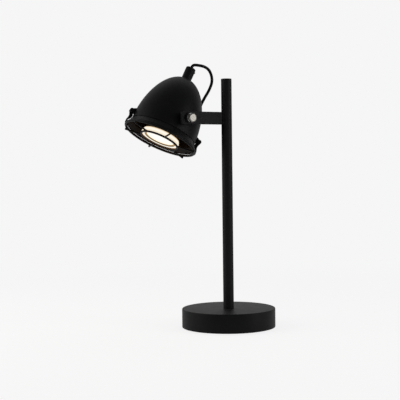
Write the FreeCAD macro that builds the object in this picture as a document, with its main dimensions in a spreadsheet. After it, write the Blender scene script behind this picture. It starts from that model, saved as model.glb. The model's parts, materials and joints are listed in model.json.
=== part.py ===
"""Tabletop searchlight lamp: a bell-shaped head that tilts on an arm welded to a post on a round base.

Origin: centre of the underside of the base.  +Z up.  The arm points along -Y, and the head hangs at its -X side,
so the head tilts about an axis along X.  All sizes are in millimetres.
"""
import FreeCAD
import Part

import math
import os

import Sketcher
from FreeCAD import Placement, Rotation, Vector

doc = FreeCAD.newDocument("SearchlightLamp")
sheet = doc.addObject("Spreadsheet::Sheet", "Sizes")

SIZES = [
    # base
    ("base_diameter", 150.0, "pressed steel base cover, outside"),
    ("base_height", 31.0, "table to the top of the base"),
    ("base_wall", 1.5, "sheet of the base cover"),
    ("base_edge", 1.2, "rounding of the upper edge of the cover"),
    ("cover_lift", 1.0, "gap between the cover's lower edge and the table"),
    ("pad_margin", 4.5, "felt pad's edge to the inside of the cover"),
    ("pad_thickness", 2.0, "felt pad"),
    ("plate_thickness", 1.5, "steel plate that closes the base"),
    ("plate_margin", 0.5, "plate edge to the inside of the cover"),
    ("weight_margin", 0.3, "cast weight to the inside of the cover"),
    ("weight_roof", 8.0, "thickness of the weight above its cavity"),
    ("weight_rim", 9.0, "thickness of the weight's outer wall"),
    ("screw_ring", 58.0, "radius of the circle of plate screws"),
    ("screw_boss_radius", 6.0, "bosses for the plate screws"),
    ("screw_radius", 2.0, "plate screws, M4"),
    ("screw_head_radius", 3.8, "countersunk heads"),
    ("screw_depth", 12.0, "plate screws, overall length"),
    ("inlet_height", 14.0, "height of the mains cord inlet"),
    ("inlet_bore_radius", 3.1, "bore of the inlet grommet"),
    ("inlet_hole_radius", 4.6, "hole in the cover for the grommet"),
    ("grommet_lip", 1.4, "lip of a rubber grommet, each side of its sheet"),
    ("grommet_overlap", 1.6, "how far a grommet's lip covers its sheet"),
    ("grommet_room", 1.5, "weight to the lip of the inlet grommet"),
    # post and its fixing
    ("post_radius", 8.5, "post tube, outside"),
    ("post_wall", 1.5, "wall of the post tube"),
    ("post_top", 398.4, "top of the post above the table"),
    ("cap_head", 1.6, "thickness of the cap on the post"),
    ("cap_skirt", 8.0, "depth of the cap's skirt in the tube"),
    ("cap_round", 1.0, "rounding of the cap's edge"),
    ("slip", 0.05, "radial clearance where one piece slides into another"),
    ("insert_length", 20.0, "threaded insert in the foot of the post"),
    ("nipple_radius", 5.0, "hollow threaded rod, M10"),
    ("nipple_bore_radius", 3.5, "bore of the hollow threaded rod"),
    ("nipple_grip", 16.0, "length of threaded rod in the post's insert"),
    ("nut_across", 14.0, "hexagon nuts of the threaded rods, across flats"),
    ("nut_height", 4.0, "hexagon nuts of the threaded rods"),
    ("thread_proud", 1.0, "end of the threaded rod beyond the post's nut"),
    ("washer_radius", 12.0, "washer under the post's nut"),
    ("washer_thickness", 2.0, "washer under the post's nut"),
    # terminal block and leads
    ("block_length", 26.0, "terminal block along Y"),
    ("block_width", 20.0, "terminal block along X"),
    ("block_height", 16.0, "terminal block"),
    ("block_start", 20.0, "post axis to the near face of the terminal block"),
    ("block_screw_radius", 2.2, "terminal screws"),
    ("block_screw_height", 1.2, "terminal screws' heads above the block"),
    ("cord_radius", 2.4, "round flexible cord"),
    ("bend_radius", 4.5, "centre line of the lead inside the post's entry"),
    ("foot_bend_radius", 6.0, "centre line of the lead under the post"),
    # arm
    ("arm_height", 20.0, "flat bar, vertical"),
    ("arm_thickness", 4.0, "flat bar, along the tilt axis"),
    ("arm_level", 335.2, "height of the arm's centre line and the tilt axis"),
    ("arm_reach", 71.5, "post axis to the tilt axis"),
    ("arm_overhang", 15.5, "tilt axis to the free end of the bar"),
    ("arm_corner", 1.5, "rounding of the bar's free corners"),
    ("arm_seat", 2.0, "how far the bar is hollowed to fit the post"),
    ("weld_leg", 1.6, "leg of the weld between the bar and the post"),
    ("entry_hole_radius", 4.2, "hole in the post where the cord enters"),
    # tilt joint
    ("bell_standoff", 6.1, "arm's middle plane to the widest part of the bell"),
    ("tilt_angle", 28.2, "lean of the head from straight down, in degrees"),
    ("bolt_radius", 4.0, "tilt bolt, M8"),
    ("bolt_clearance", 0.08, "radial clearance of the bolt in the bar"),
    ("bolt_head_across", 13.0, "tilt bolt's hexagon head, across flats"),
    ("bolt_head_height", 5.3, "tilt bolt's hexagon head"),
    ("bolt_face_radius", 6.1, "round face that the chamfer leaves on the bolt's head"),
    ("bolt_angle", 15.0, "turn of the bolt's head, in degrees"),
    ("bolt_grip", 9.0, "length of the bolt's thread in the boss on the bell"),
    ("outer_washer_radius", 9.0, "flat washer outside the bar"),
    ("outer_washer_thickness", 1.6, "flat washer outside the bar"),
    ("spring_washer_radius", 7.2, "spring washer under the bolt head"),
    ("spring_washer_thickness", 2.0, "spring washer under the bolt head"),
    ("spring_washer_slit", 1.2, "slit in the spring washer"),
    ("friction_washer_radius", 10.0, "fibre washer between bar and boss"),
    ("friction_washer_thickness", 1.0, "fibre washer between bar and boss"),
    ("boss_radius", 9.0, "boss on the bell"),
    # bell and its mouth
    ("bell_radius", 54.6, "bell at its lip, outside"),
    ("bell_height", 96.9, "bell, lip to apex"),
    ("bell_wall", 1.2, "sheet of the bell"),
    ("lip_drop", 22.5, "tilt axis to the bell's lip, along the head"),
    ("collar_depth", 9.4, "lip to the front edge of the collar"),
    ("collar_flare", 3.4, "front edge of the collar beyond the bell's lip, outwards"),
    ("collar_fit", 0.15, "radial clearance of the collar's spigot in the bell"),
    ("collar_spigot", 6.0, "depth of the spigot in the bell"),
    ("collar_groove", 1.6, "height of the groove under the lip"),
    ("collar_wall", 1.4, "sheet of the collar"),
    ("collar_bead", 1.2, "radius of the bead on the front edge"),
    # guard
    ("guard_depth", 12.4, "bell's lip to the outer wire ring"),
    ("guard_flare", 1.6, "centre line of the outer wire ring beyond the collar's edge, outwards"),
    ("guard_wire", 2.0, "outer wire ring, wire radius"),
    ("spoke_wire", 1.4, "spokes, wire radius"),
    ("spoke_overhang", 1.6, "spoke ends beyond the outer ring's centre line"),
    ("centre_ring_radius", 31.0, "centre ring, centre line"),
    ("centre_wire", 1.7, "centre ring, wire radius"),
    ("weld_depth", 0.3, "spoke ends short of the centre ring's centre line"),
    ("spoke_count", 6, "spokes of the guard"),
    ("spoke_angle", -17.5, "direction of the first spoke about the head's axis, in degrees"),
    # straps, lugs and clamp screws
    ("lug_angle", 67.0, "direction of the first lug about the head's axis, in degrees"),
    ("pin_rise", 8.9, "bell's lip to the clamp screws, upwards"),
    ("lug_rise", 9.6, "clamp screw to the upper corner of a lug"),
    ("lug_root", 6.0, "how far a lug is drawn into the bell before it is cut to the bell's curve"),
    ("lug_plate", 1.7, "each of a lug's two plates"),
    ("pin_standoff", 5.1, "bell's lip to the clamp screws' axes, outwards"),
    ("eye_radius", 3.6, "rounded ends of lugs and straps about a clamp screw"),
    ("strap_width", 5.6, "straps of the guard, outwards from the head's axis"),
    ("strap_foot", 2.6, "straps where they meet the guard's outer ring"),
    ("strap_thickness", 3.0, "straps of the guard, plate"),
    ("strap_gap", 0.5, "straps to the bell's lip and to the collar's bead"),
    ("knob_radius", 3.5, "clamp screws' knurled heads"),
    ("knob_height", 3.4, "clamp screws' knurled heads"),
    ("knob_dish_radius", 1.9, "hollow in the face of a clamp screw"),
    ("knob_dish", 0.8, "hollow in the face of a clamp screw"),
    ("knob_edge", 0.5, "rounding of a clamp screw's head"),
    ("knob_shank_radius", 2.0, "threaded shanks of the clamp screws, M4"),
    ("knob_grooves", 12, "grooves round a clamp screw"),
    ("knob_groove_radius", 0.4, "grooves round a clamp screw"),
    ("running_gap", 0.05, "radial clearance of a turning shank"),
    ("thrust_gap", 0.1, "clamp screw's head to the lug when it is slack"),
    ("shank_proud", 0.8, "end of a clamp screw's shank beyond the lug"),
    # neck
    ("neck_radius", 8.2, "neck tube on the bell"),
    ("neck_wall", 1.2, "neck tube"),
    ("neck_height", 19.6, "apex of the bell to the top of the neck"),
    ("neck_floor", 2.4, "floor of the neck above the apex"),
    ("gland_flange", 0.5, "flange of the cord gland on the neck"),
    ("gland_rim", 0.6, "edge of that flange to the edge of the neck"),
    ("gland_depth", 9.0, "plug of the cord gland in the neck"),
    ("gland_gap", 0.05, "cord to the gland's bore"),
    ("gland_screw_radius", 1.5, "clamp screw of the gland"),
    ("gland_screw_drop", 4.2, "top of the neck to the clamp screw"),
    ("gland_screw_proud", 0.9, "clamp screw's head outside the neck"),
    ("neck_nipple_length", 23.0, "threaded rod between neck and lampholder"),
    ("neck_nipple_inset", 6.0, "that rod's lower end inside the lampholder"),
    ("lead_tail", 2.0, "cord's end beyond the rod, inside the lampholder"),
    # lampholder and lamp
    ("apex_pack", 4.4, "apex of the bell to the nut under its washer"),
    ("holder_radius", 19.0, "lampholder, outside"),
    ("holder_wall", 2.0, "lampholder"),
    ("holder_edge", 1.0, "bevel at the lampholder's mouth"),
    ("holder_slope", 9.0, "sloping top of the lampholder's rear shell"),
    ("holder_front_length", 24.0, "front shell of the lampholder"),
    ("sleeve_radius", 14.6, "brass screw shell, outside"),
    ("sleeve_wall", 0.5, "brass screw shell"),
    ("contact_disc", 3.0, "ceramic disc that carries the contacts"),
    ("contact_reach", 7.0, "half length of the sprung contact"),
    ("lamp_radius", 32.5, "reflector lamp, outside of its front rim"),
    ("lamp_proud", 13.5, "front of the rim beyond the bell's lip"),
    ("lamp_depth", 53.0, "front of the rim to the lower end of the lamp's cap"),
    ("lamp_rim_round", 1.2, "rounding of the lamp's front rim"),
    ("lamp_side_depth", 7.0, "front of the rim to the rear edge of the lit front"),
    ("lamp_side_radius", 30.0, "rear edge of the lit front"),
    ("lens_radius", 25.0, "sunk lens inside the rim"),
    ("lens_sunk", 1.7, "rim to the edge of the lens"),
    ("lens_dome", 1.0, "rise of the lens at its middle"),
    ("lens_ledge", 0.5, "slope of the step between rim and lens"),
    ("lamp_neck_radius", 15.0, "lamp where the glass meets its cap"),
    ("lamp_bulge", 1.15, "radius of the bowl over its depth"),
    ("lamp_cap_proud", 5.0, "lamp's cap outside the lampholder"),
    ("lamp_cap_length", 21.5, "screw cap of the lamp"),
    ("lamp_cap_radius", 13.4, "screw cap of the lamp"),
    ("lamp_cap_shoulder", 7.0, "flat end of the lamp's cap"),
    ("lamp_bead_radius", 6.0, "glass bead round the contact on the cap"),
    ("lamp_tip_height", 2.5, "glass bead and contact on the cap"),
    ("lamp_tip_radius", 5.0, "contact on the cap"),
    ("face_glass", 1.2, "thickness of the lamp's face"),
    ("bulb_glass", 1.0, "thickness of the lamp's bowl"),
    ("cap_sheet", 0.6, "sheet of the lamp's cap"),
    ("thread_wave", 0.5, "depth of a lamp thread's rolled waves"),
]

for row, (alias, value, note) in enumerate(SIZES, start=1):
    sheet.set(f"A{row}", alias.replace("_", " "))
    sheet.set(f"B{row}", str(value))
    sheet.setAlias(f"B{row}", alias)
    sheet.set(f"C{row}", note)
doc.recompute()


class Size:
    """A length that knows both its value and the expression that binds it to the sheet."""

    def __init__(self, value, text):
        self.value = float(value)
        self.text = text

    def __add__(self, other):
        other = as_size(other)
        return Size(self.value + other.value, f"({self.text} + {other.text})")

    def __radd__(self, other):
        return as_size(other) + self

    def __sub__(self, other):
        other = as_size(other)
        return Size(self.value - other.value, f"({self.text} - {other.text})")

    def __rsub__(self, other):
        return as_size(other) - self

    def __mul__(self, other):
        other = as_size(other)
        return Size(self.value * other.value, f"({self.text} * {other.text})")

    def __rmul__(self, other):
        return as_size(other) * self

    def __truediv__(self, other):
        other = as_size(other)
        return Size(self.value / other.value, f"({self.text} / {other.text})")

    def __neg__(self):
        return Size(-self.value, f"(0 - {self.text})")

    def __float__(self):
        return self.value


def as_size(number):
    return number if isinstance(number, Size) else Size(number, repr(float(number)))


def size(alias):
    return Size(getattr(sheet, alias), f"Sizes.{alias}")


def root(number):
    number = as_size(number)
    return Size(math.sqrt(number.value), f"sqrt({number.text})")


def bind(obj, name, number):
    number = as_size(number)
    obj.setExpression(name, number.text)


# ---------------------------------------------------------------- sketches and bodies

XY, XZ, YZ = "XY_Plane", "XZ_Plane", "YZ_Plane"


def origin_plane(body, role):
    return next(feature for feature in body.Origin.OriginFeatures if feature.Role == role)


def new_body(label):
    body = doc.addObject("PartDesign::Body", label)
    body.Label = label
    return body


def new_sketch(body, plane, lift=0.0):
    """A sketch on one of the body's own planes, lifted along the plane's normal."""
    sketch = body.newObject("Sketcher::SketchObject", body.Label + "_sketch")
    sketch.AttachmentSupport = [(origin_plane(body, plane), "")]
    sketch.MapMode = "FlatFace"
    lift = as_size(lift)
    sketch.AttachmentOffset = Placement(Vector(0, 0, lift.value), Rotation())
    if "Sizes" in lift.text:
        bind(sketch, "AttachmentOffset.Base.z", lift)
    return sketch


def pin_point(sketch, geometry, vertex, x, y):
    """Fixes one vertex of a sketch by its two distances from the origin."""
    for kind, number in (("DistanceX", as_size(x)), ("DistanceY", as_size(y))):
        if number.value == 0.0:
            axis = -2 if kind == "DistanceX" else -1
            sketch.addConstraint(Sketcher.Constraint("PointOnObject", geometry, vertex, axis))
            continue
        index = sketch.addConstraint(Sketcher.Constraint(kind, -1, 1, geometry, vertex, number.value))
        if "Sizes" in number.text:
            bind(sketch, f"Constraints[{index}]", number)


def arc_through(start, end, radius, side):
    """The shorter arc between two points; side is +1 where its centre lies left of the way from start to end."""
    middle = (start + end) * 0.5
    half = (end - start) * 0.5
    rise = math.sqrt(max(radius ** 2 - half.Length ** 2, 0.0))
    left = Vector(-half.y, half.x, 0).normalize()
    centre = middle + left * (rise * side)
    first = math.atan2(start.y - centre.y, start.x - centre.x)
    last = math.atan2(end.y - centre.y, end.x - centre.x)
    if side < 0:
        first, last = last, first
    if last < first:
        last += 2 * math.pi
    return Part.ArcOfCircle(Part.Circle(centre, Vector(0, 0, 1), radius), first, last)


def draw_outline(sketch, corners):
    """Closes an outline through its corners: each is (x, y), or (x, y, radius, side) where an arc leads to it."""
    count = len(corners)
    spans = []
    for index in range(count):
        here = corners[index]
        there = corners[(index + 1) % count]
        start = Vector(float(here[0]), float(here[1]), 0)
        end = Vector(float(there[0]), float(there[1]), 0)
        if len(there) == 4:
            number = sketch.addGeometry(arc_through(start, end, float(there[2]), there[3]), False)
            ends = (1, 2) if there[3] > 0 else (2, 1)
            radius = sketch.addConstraint(Sketcher.Constraint("Radius", number, float(there[2])))
            if "Sizes" in as_size(there[2]).text:
                bind(sketch, f"Constraints[{radius}]", there[2])
        else:
            number = sketch.addGeometry(Part.LineSegment(start, end), False)
            ends = (1, 2)
        spans.append((number, ends))
    for index in range(count):
        number, ends = spans[index]
        before, ends_before = spans[index - 1]
        sketch.addConstraint(Sketcher.Constraint("Coincident", before, ends_before[1], number, ends[0]))
        pin_point(sketch, number, ends[0], corners[index][0], corners[index][1])


def draw_circle(sketch, radius, x=0.0, y=0.0):
    radius = as_size(radius)
    circle = Part.Circle(Vector(float(x), float(y), 0), Vector(0, 0, 1), radius.value)
    number = sketch.addGeometry(circle, False)
    index = sketch.addConstraint(Sketcher.Constraint("Radius", number, radius.value))
    bind(sketch, f"Constraints[{index}]", radius)
    pin_point(sketch, number, 3, x, y)


def draw_box(sketch, low_x, low_y, high_x, high_y):
    draw_outline(sketch, [(low_x, low_y), (high_x, low_y), (high_x, high_y), (low_x, high_y)])


def draw_hexagon(sketch, across):
    """A regular hexagon about the origin, with two flats parallel to the sketch's x axis."""
    corner = across / math.sqrt(3)
    flat = across / 2
    half = corner / 2
    draw_outline(
        sketch,
        [(corner, 0), (half, flat), (-half, flat), (-corner, 0), (-half, -flat), (half, -flat)],
    )


def revolve(body, corners):
    """Turns an outline of (radius, height) corners about the body's Z axis."""
    sketch = new_sketch(body, XZ)
    draw_outline(sketch, corners)
    turned = body.newObject("PartDesign::Revolution", body.Label + "_turned")
    turned.Profile = sketch
    turned.ReferenceAxis = (sketch, ["V_Axis"])
    turned.Angle = 360.0
    return turned


def pad(body, sketch, length):
    raised = body.newObject("PartDesign::Pad", body.Label + "_pad")
    raised.Profile = sketch
    bind(raised, "Length", length)
    return raised


def pocket(body, sketch, length=None, midplane=False, backwards=False):
    """Cuts a sketch out of the body, to a depth or right through."""
    sunk = body.newObject("PartDesign::Pocket", body.Label + "_pocket")
    sunk.Profile = sketch
    if length is None:
        sunk.Type = "ThroughAll"
    else:
        bind(sunk, "Length", length)
    sunk.Midplane = midplane
    sunk.Reversed = backwards
    return sunk


def turn_copies(body, feature, count):
    """Repeats a feature round the body's Z axis."""
    doc.recompute()
    pattern = body.newObject("PartDesign::PolarPattern", body.Label + "_ring")
    pattern.Originals = [feature]
    pattern.Axis = (body.Origin.OriginFeatures[2], [""])
    pattern.Angle = 360.0
    bind(pattern, "Occurrences", count)
    body.Tip = pattern
    return pattern


# ---------------------------------------------------------------- solids from primitives

def cylinder(name, radius, height, place=None):
    made = doc.addObject("Part::Cylinder", name)
    bind(made, "Radius", radius)
    bind(made, "Height", height)
    made.Placement = place or Placement()
    return made


def cone(name, lower, upper, height, place=None):
    made = doc.addObject("Part::Cone", name)
    bind(made, "Radius1", lower)
    bind(made, "Radius2", upper)
    bind(made, "Height", height)
    made.Placement = place or Placement()
    return made


def torus(name, ring_radius, wire_radius, place=None):
    made = doc.addObject("Part::Torus", name)
    bind(made, "Radius1", ring_radius)
    bind(made, "Radius2", wire_radius)
    made.Placement = place or Placement()
    return made


def block(name, length, width, height, place=None):
    made = doc.addObject("Part::Box", name)
    bind(made, "Length", length)
    bind(made, "Width", width)
    bind(made, "Height", height)
    made.Placement = place or Placement()
    return made


def cut(name, base, *tools):
    """Takes one tool after another out of the base; the last cut carries the name."""
    for number, tool in enumerate(tools, start=1):
        made = doc.addObject("Part::Cut", name if number == len(tools) else f"{name}_cut_{number}")
        made.Base = base
        made.Tool = tool
        base = made
    base.Label = name
    return base


def fuse(name, *pieces):
    made = doc.addObject("Part::MultiFuse", name)
    made.Shapes = list(pieces)
    made.Label = name
    return made


def group(name, *pieces):
    """Separate solids that share one name, such as a set of screws."""
    made = doc.addObject("Part::Compound", name)
    made.Links = list(pieces)
    made.Label = name
    return made


def at(x=0.0, y=0.0, z=0.0, axis=None, angle=0.0):
    turn = Rotation(axis, float(angle)) if axis is not None else Rotation()
    return Placement(Vector(float(x), float(y), float(z)), turn)


AXIS_X = Vector(1, 0, 0)
AXIS_Y = Vector(0, 1, 0)
AXIS_Z = Vector(0, 0, 1)

OVERCUT = 1.0  # how far a cutting tool runs past what it cuts
DIAGONAL = math.sqrt(0.5)
PLATE_SCREWS = 3
THREAD_TURNS = 5

NODES = []


def keep(piece, place=None):
    """Marks a finished sub-part, and sets it in its place."""
    if place is not None:
        piece.Placement = place
    NODES.append(piece)
    return piece


# ---------------------------------------------------------------- base

base_radius = size("base_diameter") / 2
base_top = size("base_height")
cover_inside = base_radius - size("base_wall")
roof_underside = base_top - size("base_wall")
plate_top = size("pad_thickness") + size("plate_thickness")
rod_hole = size("nipple_radius") + size("slip")
cavity_radius = cover_inside - size("weight_margin") - size("weight_rim")
cavity_roof = roof_underside - size("weight_roof")


def build_base_cover():
    """Pressed drum, open below, with a rounded upper edge."""
    body = new_body("base_cover")
    edge = size("base_edge")
    revolve(body, [
        (rod_hole, base_top),
        (rod_hole, roof_underside),
        (cover_inside, roof_underside),
        (cover_inside, size("cover_lift")),
        (base_radius, size("cover_lift")),
        (base_radius, base_top - edge),
        (base_radius - edge, base_top, edge, 1),
    ])
    sketch = new_sketch(body, XZ)
    draw_circle(sketch, size("inlet_hole_radius"), 0, size("inlet_height"))
    pocket(body, sketch, base_radius + OVERCUT)
    keep(body)


def build_base_weight():
    """Iron casting: a disc on an outer wall, with three bosses for the plate screws and a slot for the inlet."""
    body = new_body("base_weight")
    outside = cover_inside - size("weight_margin")
    revolve(body, [
        (rod_hole, roof_underside),
        (rod_hole, cavity_roof),
        (cavity_radius, cavity_roof),
        (cavity_radius, plate_top),
        (outside, plate_top),
        (outside, roof_underside),
    ])
    boss = new_sketch(body, XY, plate_top)
    draw_circle(boss, size("screw_boss_radius"), 0, -size("screw_ring"))
    turn_copies(body, pad(body, boss, cavity_roof - plate_top), PLATE_SCREWS)
    hole = new_sketch(body, XY, plate_top)
    draw_circle(hole, size("screw_radius") + size("slip"), 0, -size("screw_ring"))
    drilled = pocket(body, hole, size("screw_depth"), backwards=True)
    turn_copies(body, drilled, PLATE_SCREWS)
    slot = new_sketch(body, XZ)
    half = size("inlet_hole_radius") + size("grommet_overlap") + size("grommet_room")
    low = size("inlet_height") - half
    draw_box(slot, -half, low, half, size("inlet_height") + half)
    pocket(body, slot, base_radius)
    keep(body)


def screw_place(number):
    """Frame of one plate screw, with its head level with the plate's underside."""
    angle = math.radians(360 * number / PLATE_SCREWS - 90)
    spot = size("screw_ring").value
    return at(spot * math.cos(angle), spot * math.sin(angle), size("pad_thickness"))


def build_base_plate():
    """Steel disc with three countersunk holes."""
    thick = size("plate_thickness")
    disc = cylinder("plate_disc", cover_inside - size("plate_margin"), thick, at(0, 0, size("pad_thickness")))
    slip = size("slip")
    sinks = [
        cone(f"plate_sink_{number}", size("screw_head_radius") + slip, size("screw_radius") + slip, thick,
             screw_place(number))
        for number in range(PLATE_SCREWS)
    ]
    keep(cut("base_plate", disc, *sinks))


def build_foot_pad():
    keep(cylinder("foot_pad", cover_inside - size("pad_margin"), size("pad_thickness")))


def build_base_screws():
    """Three countersunk screws, flush with the plate."""
    screws = []
    for number in range(PLATE_SCREWS):
        place = screw_place(number)
        head = cone(f"screw_head_{number}", size("screw_head_radius"), size("screw_radius"),
                    size("plate_thickness"), place)
        shank = cylinder(f"screw_shank_{number}", size("screw_radius"), size("screw_depth"), place)
        screws.append(fuse(f"screw_{number}", head, shank))
    keep(group("base_screws", *screws))


def build_wall_grommet(name, tube_radius, wall, level, turn, hole, bore):
    """Rubber grommet in a round wall: its waist fills the hole and its two lips follow the wall's curve."""
    lip = size("grommet_lip")
    reach = hole + size("grommet_overlap")
    height = (reach + OVERCUT) * 2
    centred = at(0, 0, level - height / 2)
    inner = tube_radius - wall - lip
    outer = tube_radius + lip
    band = cut(name + "_band", cylinder(name + "_band_out", outer, height, centred),
               cylinder(name + "_band_in", inner, height, centred))
    sheet_ring = cut(name + "_sheet", cylinder(name + "_sheet_out", tube_radius, height, centred),
                     cylinder(name + "_sheet_in", tube_radius - wall, height, centred))
    outwards = at(0, 0, level, AXIS_Z, turn).multiply(at(0, 0, 0, AXIS_Y, 90))
    length = outer * 2
    lips = cut(name + "_lips", cylinder(name + "_flange", reach, length, outwards), sheet_ring)
    plug = fuse(name + "_plug", lips, cylinder(name + "_waist", hole, length, outwards))
    ring = doc.addObject("Part::Common", name + "_ring")
    ring.Base = band
    ring.Tool = plug
    keep(cut(name, ring, cylinder(name + "_passage", bore, length, outwards)))


def build_inlet_grommet():
    """Grommet in the rear of the cover, for the mains cord."""
    build_wall_grommet("inlet_grommet", base_radius, size("base_wall"), size("inlet_height"), 90,
                       size("inlet_hole_radius"), size("inlet_bore_radius"))


# ---------------------------------------------------------------- post

tube_bore = size("post_radius") - size("post_wall")
tube_top = size("post_top") - size("cap_head")


def build_post_tube():
    body = new_body("post_tube")
    sketch = new_sketch(body, XY, base_top)
    draw_circle(sketch, size("post_radius"))
    draw_circle(sketch, tube_bore)
    pad(body, sketch, tube_top - base_top)
    hole = new_sketch(body, YZ)
    draw_circle(hole, size("entry_hole_radius"), 0, size("arm_level"))
    pocket(body, hole, size("post_radius") + OVERCUT)
    keep(body)


def build_post_cap():
    body = new_body("post_cap")
    skirt = tube_bore - size("slip")
    edge = size("cap_round")
    top = size("post_top")
    revolve(body, [
        (0, tube_top - size("cap_skirt")),
        (skirt, tube_top - size("cap_skirt")),
        (skirt, tube_top),
        (size("post_radius"), tube_top),
        (size("post_radius"), top - edge),
        (size("post_radius") - edge, top, edge, 1),
        (0, top),
    ])
    keep(body)


def build_post_insert():
    """Threaded bush pressed and welded into the foot of the tube."""
    body = new_body("post_insert")
    revolve(body, [
        (rod_hole, base_top),
        (tube_bore - size("slip"), base_top),
        (tube_bore - size("slip"), base_top + size("insert_length")),
        (rod_hole, base_top + size("insert_length")),
    ])
    keep(body)


rod_end = cavity_roof - size("washer_thickness") - size("nut_height") - size("thread_proud")


def build_post_nipple():
    body = new_body("post_nipple")
    top = base_top + size("nipple_grip")
    revolve(body, [
        (size("nipple_bore_radius"), rod_end),
        (size("nipple_radius"), rod_end),
        (size("nipple_radius"), top),
        (size("nipple_bore_radius"), top),
    ])
    keep(body)


def build_post_washer():
    body = new_body("post_washer")
    sketch = new_sketch(body, XY, cavity_roof - size("washer_thickness"))
    draw_circle(sketch, size("washer_radius"))
    draw_circle(sketch, rod_hole)
    pad(body, sketch, size("washer_thickness"))
    keep(body)


def build_hexagon_nut(label, level, place=None):
    body = new_body(label)
    sketch = new_sketch(body, XY, level)
    draw_hexagon(sketch, size("nut_across"))
    draw_circle(sketch, rod_hole)
    pad(body, sketch, size("nut_height"))
    keep(body, place)


def build_post_nut():
    build_hexagon_nut("post_nut", cavity_roof - size("washer_thickness") - size("nut_height"))


# ---------------------------------------------------------------- terminal block and the lead inside the stand

lead_level = rod_end - size("foot_bend_radius")
block_bottom = cavity_roof - size("block_height")


def build_terminal_block():
    """Plastic terminal block under the roof of the weight, with a socket for the lead."""
    body = new_body("terminal_block")
    sketch = new_sketch(body, XY, block_bottom)
    half = size("block_width") / 2
    draw_box(sketch, -half, size("block_start"), half, size("block_start") + size("block_length"))
    pad(body, sketch, size("block_height"))
    keep(body)


def build_terminal_screws():
    screws = []
    for number in range(4):
        side = -1 if number % 2 else 1
        end = 1 if number < 2 else 3
        place = at(
            side * size("block_width").value / 4,
            float(size("block_start")) + end * float(size("block_length")) / 4,
            block_bottom - size("block_screw_height"),
        )
        screws.append(cylinder(f"terminal_screw_{number}", size("block_screw_radius"),
                               size("block_screw_height"), place))
    keep(group("terminal_screws", *screws))


def pipe_along(points, bends, radius):
    """A round tube along straight runs joined by tangent arcs; bends gives the radius at each inner point."""
    edges = []
    start = points[0]
    for index in range(1, len(points) - 1):
        back = (points[index - 1] - points[index]).normalize()
        on = (points[index + 1] - points[index]).normalize()
        half_turn = (math.pi - back.getAngle(on)) / 2
        reach = bends[index - 1] * math.tan(half_turn)
        first = points[index] + back * reach
        last = points[index] + on * reach
        inward = (back + on).normalize()
        middle = points[index] + inward * (bends[index - 1] / math.cos(half_turn) - bends[index - 1])
        edges.append(Part.LineSegment(start, first).toShape())
        edges.append(Part.Arc(first, middle, last).toShape())
        start = last
    edges.append(Part.LineSegment(start, points[-1]).toShape())
    spine = Part.Wire(edges)
    section = Part.Wire(Part.Circle(points[0], points[1] - points[0], radius).toShape())
    tube = spine.makePipeShell([section], True, False)
    error = tube.Volume / (math.pi * radius ** 2 * spine.Length) - 1
    print(f"tube of {spine.Length:.1f} mm, volume off by {100 * error:.2f} %")
    return tube


def free_bends(points):
    """Bend radius at each inner point of a free cord: 0.45 of the shorter run over the tangent of half the turn."""
    bends = []
    for index in range(1, len(points) - 1):
        back = points[index - 1] - points[index]
        on = points[index + 1] - points[index]
        half_turn = (math.pi - back.getAngle(on)) / 2
        bends.append(0.45 * min(back.Length, on.Length) / math.tan(half_turn))
    return bends


def solid_feature(label, shape, place=None):
    made = doc.addObject("Part::Feature", label)
    made.Shape = shape
    made.Label = label
    keep(made, place)


entry_face = size("post_radius") + size("grommet_lip")


def build_lead_in_post():
    """The cord inside the stand: in through the grommet, down the tube, out below it and on to the terminal block."""
    level = size("arm_level").value
    points = [
        Vector(-entry_face.value, 0, level),
        Vector(0, 0, level),
        Vector(0, 0, lead_level.value),
        Vector(0, size("block_start").value, lead_level.value),
    ]
    bends = [size("bend_radius").value, size("foot_bend_radius").value]
    solid_feature("lead_in_post", pipe_along(points, bends, size("cord_radius").value))


# ---------------------------------------------------------------- arm

arm_end = size("arm_reach") + size("arm_overhang")
half_arm = size("arm_thickness") / 2


def build_arm_bar():
    """Flat bar on edge, hollowed at its inner end to sit against the tube, with one hole for the tilt bolt."""
    body = new_body("arm_bar")
    sketch = new_sketch(body, YZ, -half_arm)
    low = size("arm_level") - size("arm_height") / 2
    high = size("arm_level") + size("arm_height") / 2
    corner = size("arm_corner")
    draw_outline(sketch, [
        (-size("post_radius") + size("arm_seat"), low),
        (-size("post_radius") + size("arm_seat"), high),
        (-arm_end + corner, high),
        (-arm_end, high - corner, corner, 1),
        (-arm_end, low + corner),
        (-arm_end + corner, low, corner, 1),
    ])
    pad(body, sketch, size("arm_thickness"))
    hole = new_sketch(body, YZ)
    draw_circle(hole, size("bolt_radius") + size("bolt_clearance"), -size("arm_reach"), size("arm_level"))
    pocket(body, hole, size("arm_thickness") * 2, midplane=True)
    seat = new_sketch(body, XY)
    draw_circle(seat, size("post_radius"))
    pocket(body, seat, size("post_top"), backwards=True)
    keep(body)


def build_arm_weld():
    """Two fillet welds, one each side of the bar, between it and the tube."""
    post = size("post_radius")
    leg = size("weld_leg")
    meet = root(post * post - half_arm * half_arm)
    low = size("arm_level") - size("arm_height") / 2
    beads = []
    for side in (1, -1):
        body = new_body("weld_" + ("left" if side < 0 else "right"))
        sketch = new_sketch(body, XY, low)
        out = half_arm + leg
        touch = root(post * post - out * out)
        draw_outline(sketch, [
            (half_arm * side, -meet),
            (half_arm * side, -meet - leg),
            (out * side, -touch),
        ])
        pad(body, sketch, size("arm_height"))
        round_seat = new_sketch(body, XY)
        draw_circle(round_seat, post)
        pocket(body, round_seat, size("post_top"), backwards=True)
        beads.append(body)
    keep(group("arm_welds", *beads))


def build_entry_grommet():
    """Grommet in the post where the cord enters it, on the side away from the bolt's head."""
    build_wall_grommet("entry_grommet", size("post_radius"), size("post_wall"), size("arm_level"), 180,
                       size("entry_hole_radius"), size("cord_radius") + size("gland_gap"))


# ---------------------------------------------------------------- head: all of it is drawn about the head's own axis

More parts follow.
